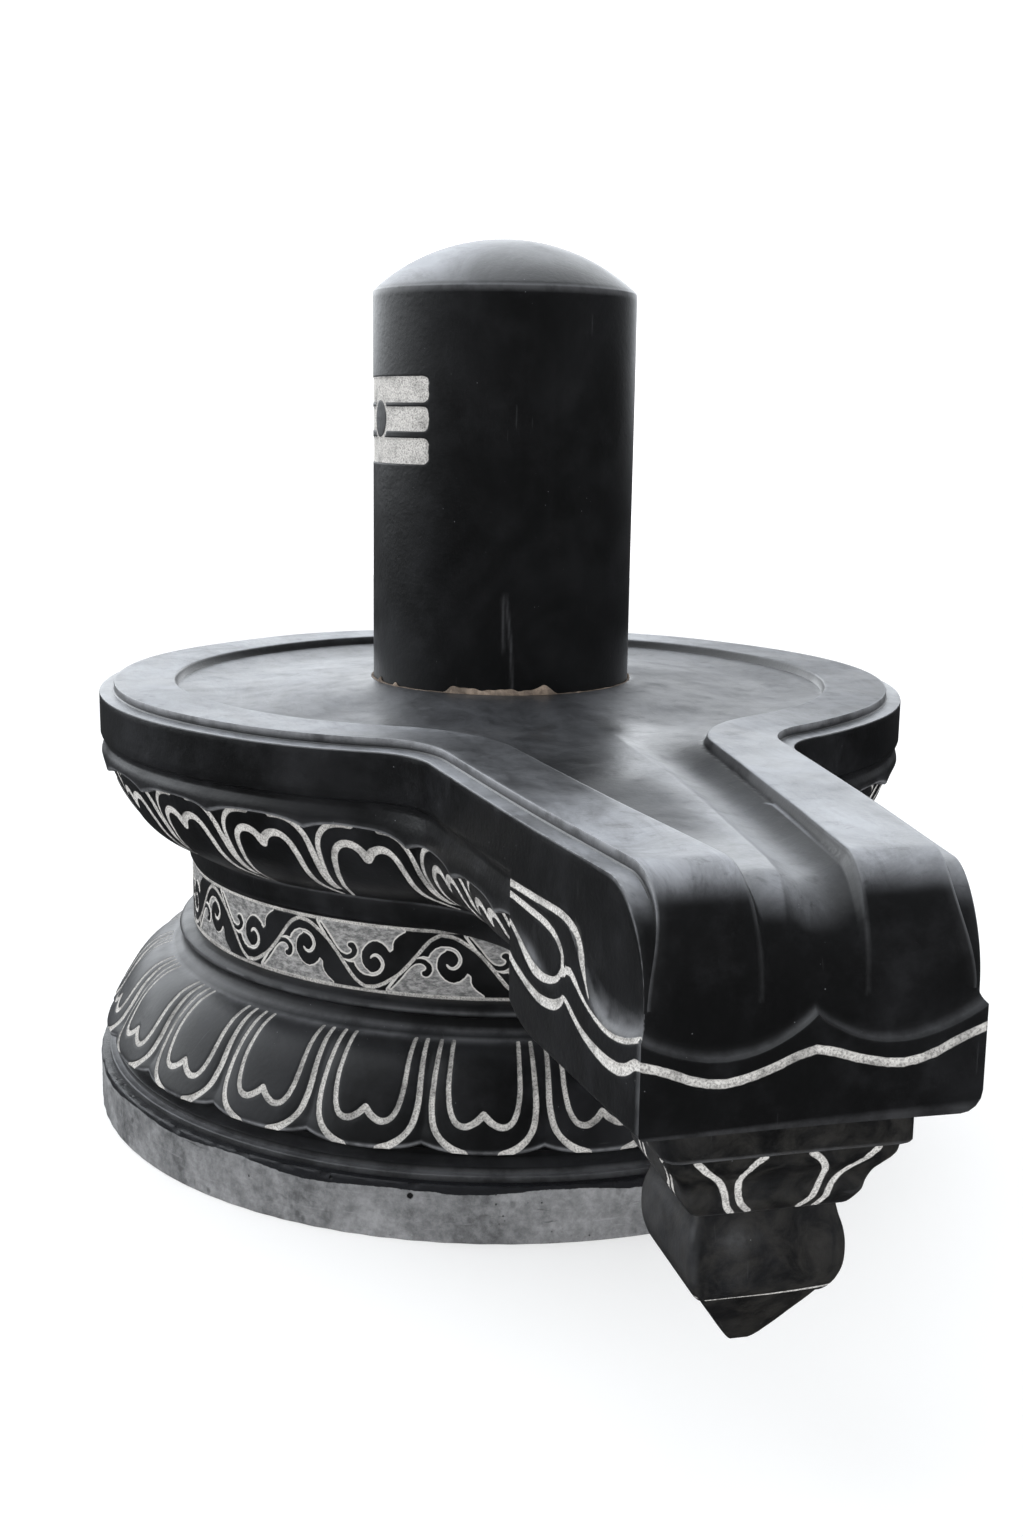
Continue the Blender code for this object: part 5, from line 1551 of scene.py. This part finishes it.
class LINGAM_OT_base(bpy.types.Operator):
    """Cut the black step under the petals and the raw disc it stands on."""

    bl_idname = "lingam.base"
    bl_label = "Base disc"

    def execute(self, context):
        s = sizes()
        azimuth = np.linspace(-math.pi, math.pi, 1000, endpoint=False)
        step_top = s.disc_top + 0.008
        neck = s.disc_radius - 0.024
        inner = s.lotus_edge_radius - 0.031
        outer = s.disc_radius - 0.014
        profile = [(inner, s.lotus_edge - 0.004), (inner, s.lotus_edge - 0.018)]
        profile += [(inner + 0.006, s.lotus_edge - 0.0235), (neck - 0.002, step_top + 0.0095)]
        profile += [(neck, step_top + 0.0080), (neck, step_top + 0.0010), (neck + 0.0015, step_top)]
        profile += [(s.disc_radius - 0.0155, step_top), (outer, step_top - 0.0012)]
        profile += [(outer, s.disc_top - 0.006)]
        profile = np.array(profile)
        points = turned(profile[:, :1], profile[:, 1:] + 0 * azimuth[None], azimuth[None])
        # A pale line on the step's edge: rubbed stone and a painted highlight.
        edge = np.exp(-(((profile[:, 1] - step_top) / 0.0015) ** 2)) * 0.5
        surface = Surface()
        rows = surface.grid(points, closed=True, wear=edge[:, None])
        surface.cap(rows[0])
        surface.cap(rows[-1][::-1])
        stone = black_stone("black_step_stone", gloss=0.40, dust_and_reflection=0.10, cloud=0.8, shine=0.22)
        surface.build("lotus_pedestal_step", stone, "pedestal_stone", "lotus_pedestal", 0.0004)

        side = np.linspace(0.004, s.disc_top - 0.004, 30)
        height = np.concatenate([[0.0, 0.0015], side, [s.disc_top - 0.0015], [s.disc_top] * 3])
        radius = np.full(len(height), s.disc_radius)
        radius[-4:] = s.disc_radius - np.array([0.0006, 0.0030, 0.0100, 0.0200])
        radius[0] -= 0.0012
        chips = np.sin(47 * azimuth + 2 * np.sin(13 * azimuth)) * np.sin(31 * azimuth + 1.3)
        chips = np.clip(chips - 0.55, 0, 1) * 0.010
        near_top = smooth_step(height, s.disc_top - 0.010, s.disc_top)[:, None]
        rough = 0.0006 * np.sin(88 * azimuth[None] + 210 * height[:, None])
        rough = rough * np.sin(300 * height[:, None] + 3 * azimuth)
        worn = radius[:, None] - chips[None] * near_top - 0.0006 - rough
        worn[-3:] = radius[-3:, None]
        dots = [np.array([(math.radians(a) * s.disc_radius, z, r)] * 2) for a, z, r in DISC_HOLES]
        places = np.stack(np.broadcast_arrays(azimuth[None] * s.disc_radius, height[:, None]), -1)
        gap = gap_to_lines(places, dots)
        runs = 0.25 + 0.35 * np.sin(5 * azimuth + 1.0) * np.sin(3 * azimuth) + 0.25 * np.sin(17 * azimuth)
        painted = smooth_step(height[:, None] - (s.disc_top - 0.004 - 0.012 * runs[None]), -0.004, 0.003)
        surface = Surface()
        points = turned(worn, height[:, None] + 0 * worn, azimuth[None])
        rows = surface.grid(points, closed=True, line_gap=gap, tone=painted)
        surface.cap(rows[0])
        surface.cap(rows[-1])
        stone = raw_stone("raw_disc_stone")
        surface.build("lotus_pedestal_disc", stone, "pedestal_stone", "lotus_pedestal", 0.0)
        return {"FINISHED"}


# Studio


def photo_camera():
    """Camera of the photograph: its axes are built from pitch, yaw and roll, then turned to the azimuth."""
    v = bpy.context.scene.lingam_camera
    sp, cp = math.sin(v.yaw), math.cos(v.yaw)
    st, ct = math.sin(v.pitch), math.cos(v.pitch)
    ahead = np.array([sp * ct, cp * ct, -st])
    right = np.array([cp, -sp, 0.0])
    down = np.cross(ahead, right)
    c, s = math.cos(v.roll), math.sin(v.roll)
    right, down = c * right + s * down, -s * right + c * down
    a = -v.azimuth
    turn = np.array([[math.cos(a), math.sin(a), 0.0], [-math.sin(a), math.cos(a), 0.0], [0.0, 0.0, 1.0]])
    place = turn @ np.array([0.0, -v.distance, v.height])
    columns = [turn @ right, -(turn @ down), -(turn @ ahead), place]
    matrix = np.eye(4)
    matrix[:3, :4] = np.stack(columns, -1)
    return matrix


BRIGHT_SIDE = (-0.32, 0.86, 0.40)
SKY = ((0.0, 0.012), (0.44, 0.02), (0.58, 0.14), (0.70, 0.42), (0.82, 0.85), (0.94, 1.0))


def overcast_sky(scene):
    """Soft light from a cloudy sky: dark below the horizon and before the spout, bright behind and above.

    SKY pairs (1 + cosine to the bright side) / 2 with the share of the full brightness.
    """
    world = bpy.data.worlds.new("overcast_sky")
    world.use_nodes = True
    scene.world = world
    tree = world.node_tree
    background = tree.nodes["Background"]
    background.inputs["Strength"].default_value = 3.4
    towards = tree.nodes.new("ShaderNodeTexCoord")
    nearness = tree.nodes.new("ShaderNodeVectorMath")
    nearness.operation = "DOT_PRODUCT"
    nearness.inputs[1].default_value = BRIGHT_SIDE
    shift = tree.nodes.new("ShaderNodeMapRange")
    shift.inputs["From Min"].default_value = -1.0
    ramp = tree.nodes.new("ShaderNodeValToRGB")
    ramp.color_ramp.interpolation = "B_SPLINE"
    stops = ramp.color_ramp.elements
    while len(stops) < len(SKY):
        stops.new(0.5)
    for stop, (place, share) in zip(stops, SKY):
        stop.position = place
        stop.color = (0.92 * share, 0.96 * share, 1.0 * share, 1.0)
    parts = tree.nodes.new("ShaderNodeSeparateXYZ")
    above = tree.nodes.new("ShaderNodeMapRange")
    above.interpolation_type = "SMOOTHSTEP"
    above.inputs["From Min"].default_value = -0.03
    above.inputs["From Max"].default_value = 0.10
    above.inputs["To Min"].default_value = 0.02
    dimmed = tree.nodes.new("ShaderNodeVectorMath")
    dimmed.operation = "SCALE"
    tree.links.new(towards.outputs["Generated"], nearness.inputs[0])
    tree.links.new(towards.outputs["Generated"], parts.inputs[0])
    tree.links.new(nearness.outputs["Value"], shift.inputs["Value"])
    tree.links.new(shift.outputs["Result"], ramp.inputs["Fac"])
    tree.links.new(parts.outputs["Z"], above.inputs["Value"])
    tree.links.new(ramp.outputs["Color"], dimmed.inputs[0])
    tree.links.new(above.outputs["Result"], dimmed.inputs["Scale"])
    tree.links.new(dimmed.outputs["Vector"], background.inputs["Color"])


STAGE_SIDES = 96
STAGE_RADIUS = 9.0
STAGE_FLOOR = -0.0005
STAGE_WALL_TOP = 5.0


class LINGAM_OT_stage(bpy.types.Operator):
    """Lay the pale floor and set the soft studio light and the camera."""

    bl_idname = "lingam.stage"
    bl_label = "Studio"

    def execute(self, context):
        scene = context.scene
        around = np.linspace(0, 2 * math.pi, STAGE_SIDES, endpoint=False)[None]
        heights = np.array([[STAGE_FLOOR], [STAGE_WALL_TOP]])
        rings = turned(np.full((2, 1), STAGE_RADIUS), heights, around)
        index = np.arange(2 * STAGE_SIDES).reshape(2, STAGE_SIDES)
        index = np.hstack([index, index[:, :1]])
        quads = np.stack([index[0, :-1], index[0, 1:], index[1, 1:], index[1, :-1]], -1)
        shapes = (
            ("studio_floor", rings[0], [list(range(STAGE_SIDES))], 0.55),
            ("studio_wall", rings, quads.tolist(), 1.0),
        )
        for name, points, faces, glow in shapes:
            mesh = bpy.data.meshes.new(name)
            mesh.from_pydata(points.reshape(-1, 3), [], faces)
            backdrop = bpy.data.objects.new(name, mesh)
            scene.collection.objects.link(backdrop)
            recipe = Recipe(name)
            recipe.shader.inputs["Specular IOR Level"].default_value = 0.0
            recipe.shader.inputs["Emission Color"].default_value = (1.0, 1.0, 1.0, 1.0)
            recipe.shader.inputs["Emission Strength"].default_value = glow
            backdrop.data.materials.append(recipe.finish(tuple(colours().floor), 0.9))
            backdrop.visible_glossy = False

        overcast_sky(scene)

        data = bpy.data.cameras.new("photo_camera")
        data.lens = scene.lingam_camera.focal
        data.sensor_width = 36.0
        data.clip_start, data.clip_end = 0.05, 100.0
        camera = bpy.data.objects.new("photo_camera", data)
        scene.collection.objects.link(camera)
        camera.matrix_world = Matrix(photo_camera().tolist())
        scene.camera = camera
        scene.view_settings.view_transform = "Standard"
        scene.view_settings.look = "None"
        return {"FINISHED"}


PIECES = (
    LINGAM_OT_shaft,
    LINGAM_OT_mortar,
    LINGAM_OT_tray,
    LINGAM_OT_bowl,
    LINGAM_OT_bracket,
    LINGAM_OT_frieze,
    LINGAM_OT_lotus,
    LINGAM_OT_base,
    LINGAM_OT_stage,
)


class LINGAM_PT_pieces(bpy.types.Panel):
    """Lists the pieces of the lingam."""

    bl_idname = "LINGAM_PT_pieces"
    bl_label = "Stone lingam"
    bl_space_type = "VIEW_3D"
    bl_region_type = "UI"
    bl_category = "Lingam"

    def draw(self, context):
        for piece in PIECES:
            self.layout.operator(piece.bl_idname)


CLASSES = (LingamSizes, LingamColours, PhotoCamera, *PIECES, LINGAM_PT_pieces)


def register():
    for each in CLASSES:
        bpy.utils.register_class(each)
    bpy.types.Scene.lingam_sizes = bpy.props.PointerProperty(type=LingamSizes)
    bpy.types.Scene.lingam_colours = bpy.props.PointerProperty(type=LingamColours)
    bpy.types.Scene.lingam_camera = bpy.props.PointerProperty(type=PhotoCamera)


def unregister():
    del bpy.types.Scene.lingam_camera
    del bpy.types.Scene.lingam_colours
    del bpy.types.Scene.lingam_sizes
    for each in reversed(CLASSES):
        bpy.utils.unregister_class(each)


def main():
    register()
    for leftover in ("Cube", "Light", "Camera"):
        if leftover in bpy.data.objects:
            bpy.data.objects.remove(bpy.data.objects[leftover], do_unlink=True)
    bpy.ops.lingam.shaft()
    bpy.ops.lingam.mortar()
    bpy.ops.lingam.tray()
    bpy.ops.lingam.bowl()
    bpy.ops.lingam.bracket()
    bpy.ops.lingam.frieze()
    bpy.ops.lingam.lotus()
    bpy.ops.lingam.base()
    bpy.ops.lingam.stage()


if __name__ == "__main__":
    main()
